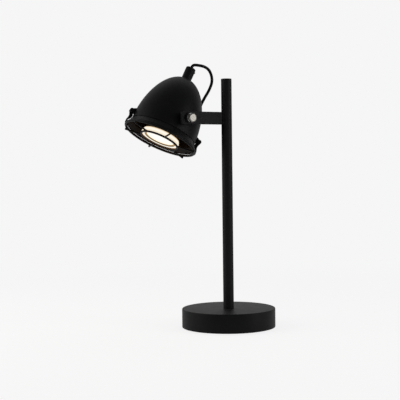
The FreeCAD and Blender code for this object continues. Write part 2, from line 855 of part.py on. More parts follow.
head_offset = size("bell_radius") + size("bell_standoff")
head_place = Placement(
    Vector(-head_offset.value, -size("arm_reach").value, size("arm_level").value),
    Rotation(AXIS_X, -size("tilt_angle").value),
)

lip_level = -size("lip_drop")
collar_edge = size("bell_radius") + size("collar_flare")
apex_level = lip_level + size("bell_height")
arm_plane = head_offset


def dome(name, wall=0.0):
    """Upper half of an ellipsoid: the bell's outer surface, or the surface one wall inside it."""
    made = doc.addObject("Part::Ellipsoid", name)
    bind(made, "Radius1", size("bell_height") - wall)
    bind(made, "Radius2", size("bell_radius") - wall)
    bind(made, "Radius3", size("bell_radius") - wall)
    made.Angle1 = 0.0
    made.Angle2 = 90.0
    made.Placement = at(0, 0, lip_level)
    return made


def bell_radius_at(level):
    """Outside radius of the bell at a height along the head's axis."""
    share = (level - lip_level) / size("bell_height")
    return size("bell_radius") * root(1 - share * share)


def build_bell_shell():
    """Spun bell: half an ellipsoid of sheet, with holes for the rod at its apex and for the tilt bolt."""
    rod = cylinder("bell_rod_hole", rod_hole, size("bell_height"), at(0, 0, lip_level + OVERCUT))
    bolt = cylinder("bell_bolt_hole", size("bolt_radius") + size("slip"), head_offset,
                    at(0, 0, 0, AXIS_Y, 90))
    keep(cut("bell_shell", dome("bell_outside"), dome("bell_inside", size("bell_wall")), rod, bolt), head_place)


def build_rim_collar():
    """Ring in the bell's mouth: a spigot inside the lip, a groove under the lip, then a flare with a beaded edge."""
    body = new_body("rim_collar")
    inner = size("bell_radius") - size("bell_wall") - size("collar_fit")
    wall = size("collar_wall")
    groove = lip_level - size("collar_groove")
    front = lip_level - size("collar_depth")
    edge = collar_edge
    bead = size("collar_bead")
    revolve(body, [
        (inner - wall, lip_level + size("collar_spigot")),
        (inner - wall, groove),
        (edge - wall, front + bead),
        (edge - wall, front),
        (edge, front),
        (edge, front + bead * 2, bead, 1),
        (inner + wall, groove),
        (inner + wall / 2, lip_level),
        (inner, lip_level),
        (inner, lip_level + size("collar_spigot")),
    ])
    keep(body, head_place)


guard_level = lip_level - size("guard_depth")
guard_radius = collar_edge + size("guard_flare")
spoke_level = guard_level - size("guard_wire") - size("spoke_wire")


def outer_ring(name):
    return torus(name, guard_radius, size("guard_wire"), at(0, 0, guard_level))


def centre_ring(name):
    return torus(name, size("centre_ring_radius"), size("centre_wire"), at(0, 0, spoke_level))


def build_guard():
    """Wire guard: an outer ring, spokes welded across its front, and a centre ring that the spokes end on."""
    keep(group("guard_ring", outer_ring("guard_ring_wire")), head_place)
    start = size("centre_ring_radius") + size("weld_depth")
    length = guard_radius + size("spoke_overhang") - start
    spokes = []
    count = int(size("spoke_count").value)
    for number in range(count):
        angle = size("spoke_angle").value + 360.0 * number / count
        along = at(0, 0, spoke_level, AXIS_Z, angle).multiply(at(start, 0, 0, AXIS_Y, 90))
        wire = cylinder(f"spoke_wire_{number}", size("spoke_wire"), length, along)
        spokes.append(cut(f"spoke_{number}", wire, centre_ring(f"spoke_seat_{number}")))
    keep(group("guard_spokes", *spokes), head_place)
    keep(group("guard_centre_ring", centre_ring("centre_ring_wire")), head_place)


pin_radius = size("bell_radius") + size("pin_standoff")
pin_level = lip_level + size("pin_rise")
half_strap = size("strap_thickness") / 2


def lug_turn(side):
    """Frame of one lug: X points outwards from the head's axis, and the lug's plates lie along X and Z."""
    return at(0, 0, 0, AXIS_Z, size("lug_angle").value + 180.0 * side)


def plate_with_eye(label, outline, start, thickness):
    """Plate in the XZ plane from an outline and a round eye about the clamp screw, with the screw's hole."""
    body = new_body(label)
    flat = new_sketch(body, XZ, start)
    draw_outline(flat, outline)
    pad(body, flat, thickness)
    eye = new_sketch(body, XZ, start)
    draw_circle(eye, size("eye_radius"), pin_radius, pin_level)
    pad(body, eye, thickness)
    hole = new_sketch(body, XZ)
    draw_circle(hole, size("knob_shank_radius") + size("running_gap"), pin_radius, pin_level)
    pocket(body, hole, (half_strap + size("lug_plate") + OVERCUT) * 2, midplane=True)
    return body


def build_lugs():
    """Two lugs on the bell, each a pair of plates with the strap's end between them."""
    root_radius = size("bell_radius") - size("lug_root")
    eye = size("eye_radius")
    outline = [
        (root_radius, pin_level + size("lug_rise")),
        (pin_radius + eye * DIAGONAL, pin_level + eye * DIAGONAL),
        (pin_radius - eye * DIAGONAL, pin_level - eye * DIAGONAL),
        (root_radius, pin_level - eye),
    ]
    plates = []
    for side in (0, 1):
        for name, start in (("near", half_strap), ("far", -half_strap - size("lug_plate"))):
            plate = plate_with_eye(f"lug_{name}_{side}", outline, start, size("lug_plate"))
            plate.Placement = lug_turn(side)
            plates.append(cut(f"lug_{name}_plate_{side}", plate, dome(f"lug_{name}_seat_{side}")))
    keep(group("bell_lugs", *plates), head_place)


def build_straps():
    """Two straps: from an eye between a lug's plates they pass the collar and end on the guard's outer ring."""
    eye = size("eye_radius")
    gap = size("strap_gap")
    upper = size("bell_radius") + gap
    lower = collar_edge + size("collar_bead") + gap
    groove = lip_level - size("collar_groove")
    bead = lip_level - size("collar_depth") + size("collar_bead") * 2
    outline = [
        (pin_radius - eye, pin_level),
        (upper, pin_level - eye * 2),
        (upper, groove),
        (lower, bead),
        (lower, guard_level),
        (lower + size("strap_foot"), guard_level),
        (lower + size("strap_foot"), bead),
        (upper + size("strap_width"), groove),
        (upper + size("strap_width"), pin_level - eye * 2),
        (pin_radius + eye, pin_level),
    ]
    straps = []
    for side in (0, 1):
        strap = plate_with_eye(f"strap_{side}", outline, -half_strap, size("strap_thickness"))
        strap.Placement = lug_turn(side)
        straps.append(cut(f"guard_strap_{side}", strap, outer_ring(f"strap_seat_{side}")))
    keep(group("guard_straps", *straps), head_place)


def build_knob(label, side):
    """Knurled clamp screw through a lug and the strap between its plates; its face has a round hollow."""
    body = new_body(label)
    grip = size("lug_plate") * 2 + size("strap_thickness") + size("thrust_gap") + size("shank_proud")
    radius = size("knob_radius")
    shank = size("knob_shank_radius")
    edge = size("knob_edge")
    top = size("knob_height")
    dish = size("knob_dish_radius")
    revolve(body, [
        (0, -grip),
        (shank, -grip),
        (shank, 0),
        (radius, 0),
        (radius, top - edge),
        (radius - edge, top, edge, 1),
        (dish, top),
        (dish - size("knob_dish") / 2, top - size("knob_dish")),
        (0, top - size("knob_dish")),
    ])
    groove = new_sketch(body, XY)
    draw_circle(groove, size("knob_groove_radius"), radius, 0)
    grooved = pocket(body, groove, size("knob_height"), backwards=True)
    turn_copies(body, grooved, size("knob_grooves"))
    head_face = half_strap + size("lug_plate") + size("thrust_gap")
    sign = 1 if side else -1
    seat = at(pin_radius, head_face * sign, pin_level, AXIS_X, -90 * sign)
    keep(body, head_place.multiply(lug_turn(side)).multiply(seat))


def along_tilt_axis(distance):
    """Frame at a distance along the tilt axis from the head's axis, with Z pointing to the arm."""
    return at(distance, 0, 0, AXIS_Y, 90)


bar_back = arm_plane - half_arm
bar_front = arm_plane + half_arm
boss_face = bar_back - size("friction_washer_thickness")
washer_face = bar_front + size("outer_washer_thickness")
head_face = washer_face + size("spring_washer_thickness")


def build_tilt_boss():
    """Round boss welded on the bell, with the thread for the tilt bolt."""
    stub = cylinder("boss_stub", size("boss_radius"), boss_face, along_tilt_axis(0))
    bore = cylinder("boss_bore", size("bolt_radius") + size("slip"), boss_face + OVERCUT, along_tilt_axis(0))
    keep(cut("tilt_boss", stub, dome("boss_seat"), bore), head_place)


def build_tilt_washers():
    reach = size("bolt_radius") + size("bolt_clearance")
    inner = cylinder("friction_disc", size("friction_washer_radius"), size("friction_washer_thickness"),
                     along_tilt_axis(boss_face))
    inner_hole = cylinder("friction_hole", reach, size("friction_washer_thickness") * 3,
                          along_tilt_axis(boss_face - size("friction_washer_thickness")))
    keep(cut("friction_washer", inner, inner_hole), head_place)
    outer = cylinder("washer_disc", size("outer_washer_radius"), size("outer_washer_thickness"),
                     along_tilt_axis(bar_front))
    outer_hole = cylinder("washer_hole", reach, size("outer_washer_thickness") * 3,
                          along_tilt_axis(bar_front - size("outer_washer_thickness")))
    keep(cut("flat_washer", outer, outer_hole), head_place)
    spring = cylinder("spring_disc", size("spring_washer_radius"), size("spring_washer_thickness"),
                      along_tilt_axis(washer_face))
    spring_hole = cylinder("spring_hole", reach, size("spring_washer_thickness") * 3,
                           along_tilt_axis(washer_face - size("spring_washer_thickness")))
    slit = block("spring_slit", size("spring_washer_thickness") * 3, size("spring_washer_slit"),
                 size("spring_washer_radius") * 2,
                 at(washer_face - size("spring_washer_thickness"), -size("spring_washer_slit") / 2, 0))
    keep(cut("spring_washer", spring, spring_hole, slit), head_place)


def build_tilt_bolt():
    """Hexagon bolt through washers and bar into the boss; its head has a chamfered face."""
    body = new_body("tilt_bolt")
    sketch = new_sketch(body, XY)
    draw_hexagon(sketch, size("bolt_head_across"))
    pad(body, sketch, size("bolt_head_height"))
    grip = head_face - boss_face + size("bolt_grip")
    shank = new_sketch(body, XY, -grip)
    draw_circle(shank, size("bolt_radius"))
    pad(body, shank, grip)
    chamfer = new_sketch(body, XZ)
    top = size("bolt_head_height")
    corner = size("bolt_head_across") / math.sqrt(3) + OVERCUT
    face = size("bolt_face_radius")
    draw_outline(chamfer, [
        (face, top),
        (corner, top - (corner - face) * math.tan(math.radians(30))),
        (corner, top + OVERCUT),
        (face, top + OVERCUT),
    ])
    turned = body.newObject("PartDesign::Groove", "tilt_bolt_chamfer")
    turned.Profile = chamfer
    turned.ReferenceAxis = (chamfer, ["V_Axis"])
    turned.Angle = 360.0
    keep(body, head_place.multiply(along_tilt_axis(head_face)).multiply(at(0, 0, 0, AXIS_Z, size("bolt_angle").value)))


# ---------------------------------------------------------------- neck

neck_bore = size("neck_radius") - size("neck_wall")
cord_hole = size("cord_radius") + size("gland_gap")


neck_top = apex_level + size("neck_height")
holder_top = apex_level - size("apex_pack") - size("nut_height")
lamp_front = lip_level - size("lamp_proud")
lamp_cap_start = lamp_front + size("lamp_depth")
holder_mouth = lamp_cap_start + size("lamp_cap_proud")
holder_joint = holder_mouth + size("holder_front_length")
nipple_low = holder_top - size("neck_nipple_inset")


def clamp_drill(name, radius):
    """Tool for the sideways hole of the gland's clamp screw."""
    turn = at(0, 0, neck_top - size("gland_screw_drop"), AXIS_Z, size("lug_angle"))
    return cylinder(name, radius, size("neck_radius") * 2, turn.multiply(at(0, 0, 0, AXIS_Y, 90)))


def build_neck_tube():
    """Short tube that stands on the bell's apex, with a floor that the threaded rod passes through."""
    floor = apex_level + size("neck_floor")
    outside = cylinder("neck_outside", size("neck_radius"), neck_top - holder_top, at(0, 0, holder_top))
    bore = cylinder("neck_bore", neck_bore, neck_top - floor + OVERCUT, at(0, 0, floor))
    hole = cylinder("neck_rod_hole", rod_hole, neck_top - holder_top, at(0, 0, holder_top))
    side_hole = clamp_drill("neck_side_hole", size("gland_screw_radius") + size("slip"))
    keep(cut("neck_tube", outside, dome("neck_seat"), bore, hole, side_hole), head_place)


def build_neck_gland():
    """Plastic plug with a thin flange that grips the cord at the top of the neck."""
    low = neck_top - size("gland_depth")
    plug = cylinder("gland_plug", neck_bore - size("slip"), size("gland_depth"), at(0, 0, low))
    flange = cylinder("gland_flange", size("neck_radius") - size("gland_rim"), size("gland_flange"),
                      at(0, 0, neck_top))
    bore = cylinder("gland_bore", cord_hole, size("gland_depth") * 2, at(0, 0, low - OVERCUT))
    socket = clamp_drill("gland_socket", size("gland_screw_radius") + size("slip"))
    keep(cut("neck_gland", fuse("gland_body", plug, flange), bore, socket), head_place)


def build_gland_screw():
    turn = at(0, 0, neck_top - size("gland_screw_drop"), AXIS_Z, size("lug_angle"))
    length = size("neck_radius") + size("gland_screw_proud") - cord_hole
    screw = cylinder("gland_screw", size("gland_screw_radius"), length)
    keep(screw, head_place.multiply(turn).multiply(at(cord_hole, 0, 0, AXIS_Y, 90)))


def build_neck_nipple():
    body = new_body("neck_nipple")
    high = nipple_low + size("neck_nipple_length")
    revolve(body, [
        (size("nipple_bore_radius"), nipple_low),
        (size("nipple_radius"), nipple_low),
        (size("nipple_radius"), high),
        (size("nipple_bore_radius"), high),
    ])
    keep(body, head_place)


def build_inner_washer():
    """Thick washer that fits the inside of the apex and clamps the bell to the neck."""
    low = apex_level - size("apex_pack")
    stub = cylinder("inner_washer_stub", size("neck_radius"), size("apex_pack"), at(0, 0, low))
    hole = cylinder("inner_washer_hole", rod_hole, size("apex_pack") * 2, at(0, 0, low - OVERCUT))
    common = doc.addObject("Part::Common", "inner_washer_common")
    common.Base = stub
    common.Tool = dome("inner_washer_seat", size("bell_wall"))
    keep(cut("inner_washer", common, hole), head_place)


def build_holder_nut():
    build_hexagon_nut("holder_nut", holder_top, head_place)


def build_lead_in_neck():
    """The cord from the gland down to the lampholder."""
    start = nipple_low - size("lead_tail")
    length = neck_top + size("gland_flange") - start
    keep(cylinder("lead_in_neck", size("cord_radius"), length), head_place.multiply(at(0, 0, start)))


# ---------------------------------------------------------------- lampholder and lamp

def build_holder_back():
    """Rear shell of the lampholder, closing in to the threaded rod."""
    body = new_body("holder_back")
    outside = size("holder_radius")
    wall = size("holder_wall")
    collar = size("nipple_radius") + wall * 2
    shoulder = holder_top - size("holder_slope")
    revolve(body, [
        (outside, holder_joint),
        (outside, shoulder),
        (collar, holder_top),
        (rod_hole, holder_top),
        (rod_hole, holder_top - wall * 2),
        (collar - wall, holder_top - wall * 2),
        (outside - wall, shoulder - wall / 2),
        (outside - wall, holder_joint),
    ])
    keep(body, head_place)


disc_bottom = holder_joint - size("contact_disc")


def build_holder_front():
    """Front shell of the lampholder, round the screw shell."""
    body = new_body("holder_front")
    outside = size("holder_radius")
    inside = size("sleeve_radius") + size("slip")
    revolve(body, [
        (inside, holder_mouth),
        (outside - size("holder_edge"), holder_mouth),
        (outside, holder_mouth + size("holder_edge")),
        (outside, holder_joint),
        (inside, holder_joint),
    ])
    keep(body, head_place)


def thread_waves(low, pitch, count, crest, depth):
    """Corners of a rolled thread's outline, going up from one crest to the last."""
    corners = [(crest, low)]
    for wave in range(count):
        corners.append((crest - depth, low + pitch * (wave + 0.5)))
        corners.append((crest, low + pitch * (wave + 1)))
    return corners


def build_screw_shell():
    """Brass shell that the lamp's cap screws into, rolled into shallow thread waves."""
    body = new_body("screw_shell")
    crest = size("sleeve_radius")
    wall = size("sleeve_wall")
    low = holder_mouth + wall * 4
    pitch = (disc_bottom - low) / THREAD_TURNS
    outside = thread_waves(low, pitch, THREAD_TURNS, crest, size("thread_wave"))
    inside = thread_waves(low, pitch, THREAD_TURNS, crest - wall, size("thread_wave"))
    revolve(body, outside + inside[::-1])
    keep(body, head_place)


def build_contact_disc():
    keep(
        cylinder("contact_disc", size("sleeve_radius"), size("contact_disc")),
        head_place.multiply(at(0, 0, disc_bottom)),
    )


lamp_cap_end = lamp_cap_start + size("lamp_cap_length")
lamp_tip_level = lamp_cap_end + size("lamp_tip_height")


def build_centre_contact():
    """Sprung brass tongue that meets the lamp's tip."""
    body = new_body("centre_contact")
    sketch = new_sketch(body, XZ, -(size("lamp_tip_radius") / 2))
    far = size("contact_reach")
    thick = size("sleeve_wall")
    draw_outline(sketch, [
        (-far, disc_bottom - thick),
        (-far, disc_bottom),
        (far, disc_bottom),
        (far, disc_bottom - thick),
        (far / 2, disc_bottom - thick),
        (-far / 2, lamp_tip_level),
        (-far / 2 - thick, lamp_tip_level),
        (-far / 2 - thick, disc_bottom - thick),
    ])
    pad(body, sketch, size("lamp_tip_radius"))
    keep(body, head_place)


lamp_side_level = lamp_front + size("lamp_side_depth")


def sphere_radius(radius, height):
    """Radius of the sphere whose cap has this radius and height."""
    return (radius * radius + height * height) / (height * 2)


def build_lamp_face():
    """Opal front of the lamp: a tapering side, a rounded rim, and a slightly domed lens sunk inside the rim."""
    body = new_body("lamp_face")
    glass = size("face_glass")
    radius = size("lamp_radius")
    edge = size("lamp_rim_round")
    lens = size("lens_radius")
    rise = size("lens_dome")
    lens_edge = lamp_front + size("lens_sunk")
    step = lens + size("lens_ledge")
    curve = sphere_radius(lens, rise)
    side = size("lamp_side_radius")
    revolve(body, [
        (0, lens_edge - rise),
        (lens, lens_edge, curve, 1),
        (step, lamp_front),
        (radius - edge, lamp_front),
        (radius, lamp_front + edge, edge, 1),
        (side, lamp_side_level),
        (side - glass, lamp_side_level),
        (radius - glass, lamp_front + glass),
        (step + glass, lamp_front + glass),
        (lens, lens_edge + glass),
        (0, lens_edge - rise + glass, curve, -1),
    ])
    keep(body, head_place)


def build_lamp_body():
    """Reflector bulb of glass: a bowl that narrows from the lit front to the cap."""
    body = new_body("lamp_body")
    side = size("lamp_side_radius")
    glass = size("bulb_glass")
    neck = size("lamp_neck_radius")
    top = lamp_cap_start
    bowl = (top - lamp_side_level) * size("lamp_bulge")
    revolve(body, [
        (side - glass, lamp_side_level, bowl, -1),
        (side, lamp_side_level),
        (neck, top, bowl, 1),
        (neck - glass * 3, top),
        (neck - glass * 3, top - glass),
        (neck - glass, top - glass),
    ])
    keep(body, head_place)


def build_lamp_cap():
    """Nickel screw cap: a cup of thin sheet with the rolled waves of its thread."""
    body = new_body("lamp_cap")
    low = lamp_cap_start
    top = lamp_cap_end
    crest = size("lamp_cap_radius")
    wall = size("cap_sheet")
    pitch = size("lamp_cap_length") / (THREAD_TURNS + 2)
    outside = thread_waves(low + pitch, pitch, THREAD_TURNS, crest, size("thread_wave"))
    inside = thread_waves(low + pitch, pitch, THREAD_TURNS, crest - wall, size("thread_wave"))
    shoulder = size("lamp_cap_shoulder")
    revolve(body, [
        (crest, low),
        *outside,
        (shoulder, top),
        (0, top),
        (0, top - wall),
        (shoulder - wall, top - wall),
        *inside[::-1],
        (crest - wall, low),
    ])
    keep(body, head_place)


def build_lamp_tip():
    keep(
        cone("lamp_tip", size("lamp_bead_radius"), size("lamp_tip_radius") / 2, size("lamp_tip_height")),
        head_place.multiply(at(0, 0, lamp_cap_end)),
    )


# ---------------------------------------------------------------- cord between head and post

def build_head_cord():
    """The cord's free loop: out of the neck, over behind the bell, and into the post at the height of the arm."""
    gland_face = head_place.multVec(Vector(0, 0, (neck_top + size("gland_flange")).value))
    axis = head_place.Rotation.multVec(AXIS_Z)
    points = [
        gland_face,
        gland_face + axis * 6.5,
        Vector(-60.7, -15.5, 424.7),
        Vector(-60.5, 0.9, 422.7),
        Vector(-61.0, 11.2, 415.9),
        Vector(-62.0, 16.7, 400.8),
        Vector(-64.5, 12.1, 385.5),
        Vector(-67.5, 2.0, 369.5),
        Vector(-69.0, -5.2, 355.5),
        Vector(-66.5, -10.8, 343.0),
        Vector(-58.0, -11.5, 333.5),
        Vector(-45.0, -7.5, 330.5),
        Vector(-28.0, -2.5, 331.7),
        Vector(-18.0, 0.0, 335.2),
        Vector(-entry_face.value, 0, size("arm_level").value),
    ]
    bends = free_bends(points)
    print("bend radii of the head cord: " + ", ".join(f"{bend:.1f}" for bend in bends))
    solid_feature("head_cord", pipe_along(points, bends, size("cord_radius").value))


# ---------------------------------------------------------------- build, check and write

build_base_cover()
build_base_weight()
build_base_plate()
build_foot_pad()
build_base_screws()
build_inlet_grommet()
build_post_tube()
build_post_cap()
build_post_insert()
build_post_nipple()
build_post_washer()
build_post_nut()
build_terminal_block()
build_terminal_screws()
build_lead_in_post()
build_arm_bar()
build_arm_weld()
build_entry_grommet()
build_bell_shell()
build_rim_collar()
build_guard()
build_lugs()
build_straps()
build_knob("knob_right", 0)
build_knob("knob_left", 1)
build_tilt_boss()
build_tilt_washers()
build_tilt_bolt()
build_neck_tube()
build_neck_gland()
build_gland_screw()
build_neck_nipple()
build_inner_washer()
build_holder_nut()
build_lead_in_neck()
build_holder_back()
build_holder_front()
build_screw_shell()
build_contact_disc()
build_centre_contact()
build_lamp_face()
build_lamp_body()
build_lamp_cap()
build_lamp_tip()
build_head_cord()

doc.recompute()

failed = [obj.Name for obj in doc.Objects if "Invalid" in obj.State or "Error" in obj.State]
if failed:
    raise RuntimeError("features failed: " + ", ".join(failed))

os.makedirs("parts", exist_ok=True)
for node in NODES:
    shape = node.Shape
    if shape.isNull() or not shape.isValid() or not shape.Solids:
        raise RuntimeError(f"{node.Label} has no valid solid")
    box = shape.BoundBox
    print(f"{node.Label:20s} solids {len(shape.Solids)} volume {shape.Volume:10.1f}  "
          f"x {box.XMin:7.1f} {box.XMax:7.1f}  y {box.YMin:7.1f} {box.YMax:7.1f}  "
          f"z {box.ZMin:7.1f} {box.ZMax:7.1f}")
    shape.exportStep(f"parts/{node.Label}.step")
print(f"{len(NODES)} sub-parts written")
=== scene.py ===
# %% [markdown]
# A table lamp made like a small searchlight.  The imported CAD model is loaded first, as a frame that is never moved
# or reshaped.  Every piece made here sits where the frame says, so nothing has to be fitted by eye.

# %% Load the frame
import json
import math

import bmesh
import bpy
from mathutils import Matrix, Vector


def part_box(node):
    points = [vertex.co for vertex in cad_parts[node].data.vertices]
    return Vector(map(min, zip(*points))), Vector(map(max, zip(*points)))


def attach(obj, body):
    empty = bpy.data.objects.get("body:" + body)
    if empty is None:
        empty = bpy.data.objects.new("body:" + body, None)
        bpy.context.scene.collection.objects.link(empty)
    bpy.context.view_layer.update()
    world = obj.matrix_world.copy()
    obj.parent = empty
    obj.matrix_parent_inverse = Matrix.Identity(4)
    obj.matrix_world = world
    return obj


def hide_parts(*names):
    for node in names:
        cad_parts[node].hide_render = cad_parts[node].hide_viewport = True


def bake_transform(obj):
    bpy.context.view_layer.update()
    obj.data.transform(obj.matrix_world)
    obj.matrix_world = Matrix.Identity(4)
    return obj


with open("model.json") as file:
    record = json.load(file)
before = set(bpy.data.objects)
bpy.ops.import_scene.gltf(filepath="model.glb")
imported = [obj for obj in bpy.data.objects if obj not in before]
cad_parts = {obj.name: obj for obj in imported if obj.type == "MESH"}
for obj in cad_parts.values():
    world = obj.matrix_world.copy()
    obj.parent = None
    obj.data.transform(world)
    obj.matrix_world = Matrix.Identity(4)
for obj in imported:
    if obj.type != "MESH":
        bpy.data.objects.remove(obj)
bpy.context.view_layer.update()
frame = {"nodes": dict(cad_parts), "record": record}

MM = 0.001

# %% [markdown]
# The head hangs at a lean, and all its round pieces share one axis.  Drawing them about that axis, with Z towards
# the neck, and turning the finished mesh is simpler than drawing them at a lean.  The lamp's own sizes are in
# millimetres, levels on the head count from the tilt bolt, and MM turns both into metres.  The camera, the room and
# the points of the cord's route are in metres.

# %% The head's own axes
TILT_AXIS_HEIGHT = 335.2
ARM_REACH = 71.5
HEAD_OFFSET = 60.7
LEAN = 28.2
LIP_LEVEL, BELL_HEIGHT, GLAND_FACE = -22.5, 96.9, 94.5
HEAD = Matrix.Translation((-HEAD_OFFSET * MM, -ARM_REACH * MM, TILT_AXIS_HEIGHT * MM)) @ Matrix.Rotation(
    math.radians(-LEAN), 4, "X")


def head_point(x, y, z):
    """A point given in millimetres about the head's axis, in metres in the row frame."""
    return HEAD @ Vector((x * MM, y * MM, z * MM))


print("apex of the bell:", tuple(round(c, 4) for c in head_point(0, 0, LIP_LEVEL + BELL_HEIGHT)))

# %% [markdown]
# A real lens is set by its focal length and its place.  The camera stands level with the lamp's upper half, a good
# metre and a half away, looks a little down, and has a trace of roll.

# %% Camera
FOCAL_PIXELS = 1030.0
FRAME_PIXELS = 400.0
SENSOR_WIDTH = 36.0
CAMERA_RIGHT, CAMERA_BACK, CAMERA_HEIGHT = -0.0441, 1.6511, 0.2664
CAMERA_YAW = math.radians(55.93)
CAMERA_PITCH = -0.0371
CAMERA_ROLL = -0.0116
camera_data = bpy.data.cameras.new("camera")
camera_data.sensor_width = SENSOR_WIDTH
camera_data.lens = FOCAL_PIXELS / FRAME_PIXELS * SENSOR_WIDTH
camera_data.clip_end = 20.0
camera = bpy.data.objects.new("camera", camera_data)
bpy.context.scene.collection.objects.link(camera)
across = Vector((math.cos(CAMERA_YAW), math.sin(CAMERA_YAW), 0))
ahead = Vector((-math.sin(CAMERA_YAW), math.cos(CAMERA_YAW), 0))
camera_place = across * CAMERA_RIGHT - ahead * CAMERA_BACK + Vector((0, 0, CAMERA_HEIGHT))
camera.matrix_world = (
    Matrix.Translation(camera_place)
    @ Matrix.Rotation(CAMERA_YAW, 4, "Z")
    @ Matrix.Rotation(math.pi / 2 + CAMERA_PITCH, 4, "X")
    @ Matrix.Rotation(CAMERA_ROLL, 4, "Z")
)
bpy.context.scene.camera = camera
print("lens", round(camera_data.lens, 2), "mm, camera at", tuple(round(c, 3) for c in camera_place))

# %% [markdown]
# Shader groups.  Each finish on this lamp shares a few effects: a fine grain, a soft mottle, wear on raised edges
# and a little dust on what faces up.  Each effect is one group with named inputs, and each material gives it its
# values.

# %% Helpers for node trees
def add_socket(tree, name, direction, kind, value=None):
    """Gives a node group one more input or output."""
    socket = tree.interface.new_socket(name=name, in_out=direction, socket_type=kind)
    if value is not None:
        socket.default_value = value


def add_node(tree, kind, place=(0, 0), **settings):
    """Adds a node at a place in the editor and sets its options."""
    node = tree.nodes.new(kind)
    node.location = place
    for name, value in settings.items():
        setattr(node, name, value)
    return node


def math_node(tree, operation, first, second, clamp=False):
    """Result of a sum or a comparison of two values, each a number or a socket."""
    node = add_node(tree, "ShaderNodeMath", operation=operation, use_clamp=clamp)
    for socket, value in zip(node.inputs, (first, second)):
        if isinstance(value, (int, float)):
            socket.default_value = value
        else:
            tree.links.new(value, socket)
    return node.outputs[0]


def map_range(tree, value, start=(0.0, 1.0), result=(0.0, 1.0), **settings):
    """A value carried from one range to another, and held at its ends."""
    node = add_node(tree, "ShaderNodeMapRange", clamp=True, **settings)
    node.inputs["From Min"].default_value, node.inputs["From Max"].default_value = start
    node.inputs["To Min"].default_value, node.inputs["To Max"].default_value = result
    tree.links.new(value, node.inputs["Value"])
    return node.outputs["Result"]


def sized_noise(tree, size, detail=2.0):
    """Noise over the object whose features have the size, in millimetres, that a socket gives."""
    place = add_node(tree, "ShaderNodeTexCoord")
    noise = add_node(tree, "ShaderNodeTexNoise")
    noise.inputs["Detail"].default_value = detail
    tree.links.new(place.outputs["Object"], noise.inputs["Vector"])
    tree.links.new(math_node(tree, "DIVIDE", 1 / MM, size), noise.inputs["Scale"])
    return noise.outputs["Fac"]


def mask_group(name, size_name, size):
    """Starts a group that has an amount and a feature size as inputs and a mask as output."""
    tree = bpy.data.node_groups.new(name, "ShaderNodeTree")
    add_socket(tree, "Amount", "INPUT", "NodeSocketFloat", 0.5)
    add_socket(tree, size_name, "INPUT", "NodeSocketFloat", size)
    add_socket(tree, "Mask", "OUTPUT", "NodeSocketFloat")
    ends_in = add_node(tree, "NodeGroupInput", (-900, 0))
    ends_out = add_node(tree, "NodeGroupOutput", (500, 0))
    return tree, ends_in.outputs, ends_out.inputs


def close_mask(tree, given, out, strength, noise):
    """Mask of a group: its strength, broken up by noise and scaled by the amount."""
    broken = math_node(tree, "MULTIPLY", strength, noise)
    tree.links.new(math_node(tree, "MULTIPLY", broken, given["Amount"], clamp=True), out["Mask"])


# %% Group: grain, the fine orange-peel of a sprayed or moulded surface
def make_grain_group():
    tree = bpy.data.node_groups.new("surface_grain", "ShaderNodeTree")
    ends_in = add_node(tree, "NodeGroupInput", (-800, 0))
    ends_out = add_node(tree, "NodeGroupOutput", (400, 0))
    for name, size, output, detail in (
            ("Grain size mm", 0.4, "Height", 3.0), ("Mottle size mm", 12.0, "Mottle", 2.0)):
        add_socket(tree, name, "INPUT", "NodeSocketFloat", size)
        add_socket(tree, output, "OUTPUT", "NodeSocketFloat")
        tree.links.new(sized_noise(tree, ends_in.outputs[name], detail), ends_out.inputs[output])
    return tree


GRAIN = make_grain_group()
print("made", GRAIN.name)

# %% Group: edge wear, a mask of raised edges broken up by noise
RAISED = (0.53, 0.62)


def make_wear_group():
    tree, given, out = mask_group("edge_wear", "Breakup size mm", 3.0)
    geometry = add_node(tree, "ShaderNodeNewGeometry", (-900, 300))
    edge = map_range(tree, geometry.outputs["Pointiness"], RAISED)
    close_mask(tree, given, out, edge, sized_noise(tree, given["Breakup size mm"]))
    return tree


WEAR = make_wear_group()
print("made", WEAR.name)

# %% Group: dust, a thin veil on faces that look up
LOOKS_UP = (0.35, 1.0)


def make_dust_group():
    tree, given, out = mask_group("settled_dust", "Patch size mm", 9.0)
    geometry = add_node(tree, "ShaderNodeNewGeometry", (-900, 300))
    parts = add_node(tree, "ShaderNodeSeparateXYZ", (-700, 300))
    tree.links.new(geometry.outputs["Normal"], parts.inputs[0])
    upward = map_range(tree, parts.outputs["Z"], LOOKS_UP)
    close_mask(tree, given, out, upward, sized_noise(tree, given["Patch size mm"], 4.0))
    return tree


DUST = make_dust_group()
print("made", DUST.name)

# %% [markdown]
# One function builds the opaque finishes.  It puts the three groups and one Principled shader into a material, so
# each finish is a short call that names its colour, its gloss, its grain and its wear.

# %% Opaque finish
WEAR_BREAKUP, DUST_PATCH = 2.5, 9.0
DUST_COLOUR = (0.16, 0.155, 0.15)


def new_material(name):
    """An empty material with its node tree and its Principled shader."""
    material = bpy.data.materials.new(name)
    material.use_nodes = True
    return material, material.node_tree, material.node_tree.nodes["Principled BSDF"]


def mix_colours(tree, mask, first, second):
    """The first colour where the mask is 0 and the second where it is 1, each a colour or a socket."""
    mix = add_node(tree, "ShaderNodeMix", data_type="RGBA")
    tree.links.new(mask, mix.inputs["Factor"])
    for socket, value in ((mix.inputs[6], first), (mix.inputs[7], second)):
        if isinstance(value, tuple):
            socket.default_value = (*value, 1.0)
        else:
            tree.links.new(value, socket)
    return mix.outputs[2]


def group_node(tree, group, **values):
    """Puts a shader group into a tree and sets its inputs."""
    node = add_node(tree, "ShaderNodeGroup")
    node.node_tree = group
    for name, value in values.items():
        node.inputs[name.replace("_", " ")].default_value = value
    return node


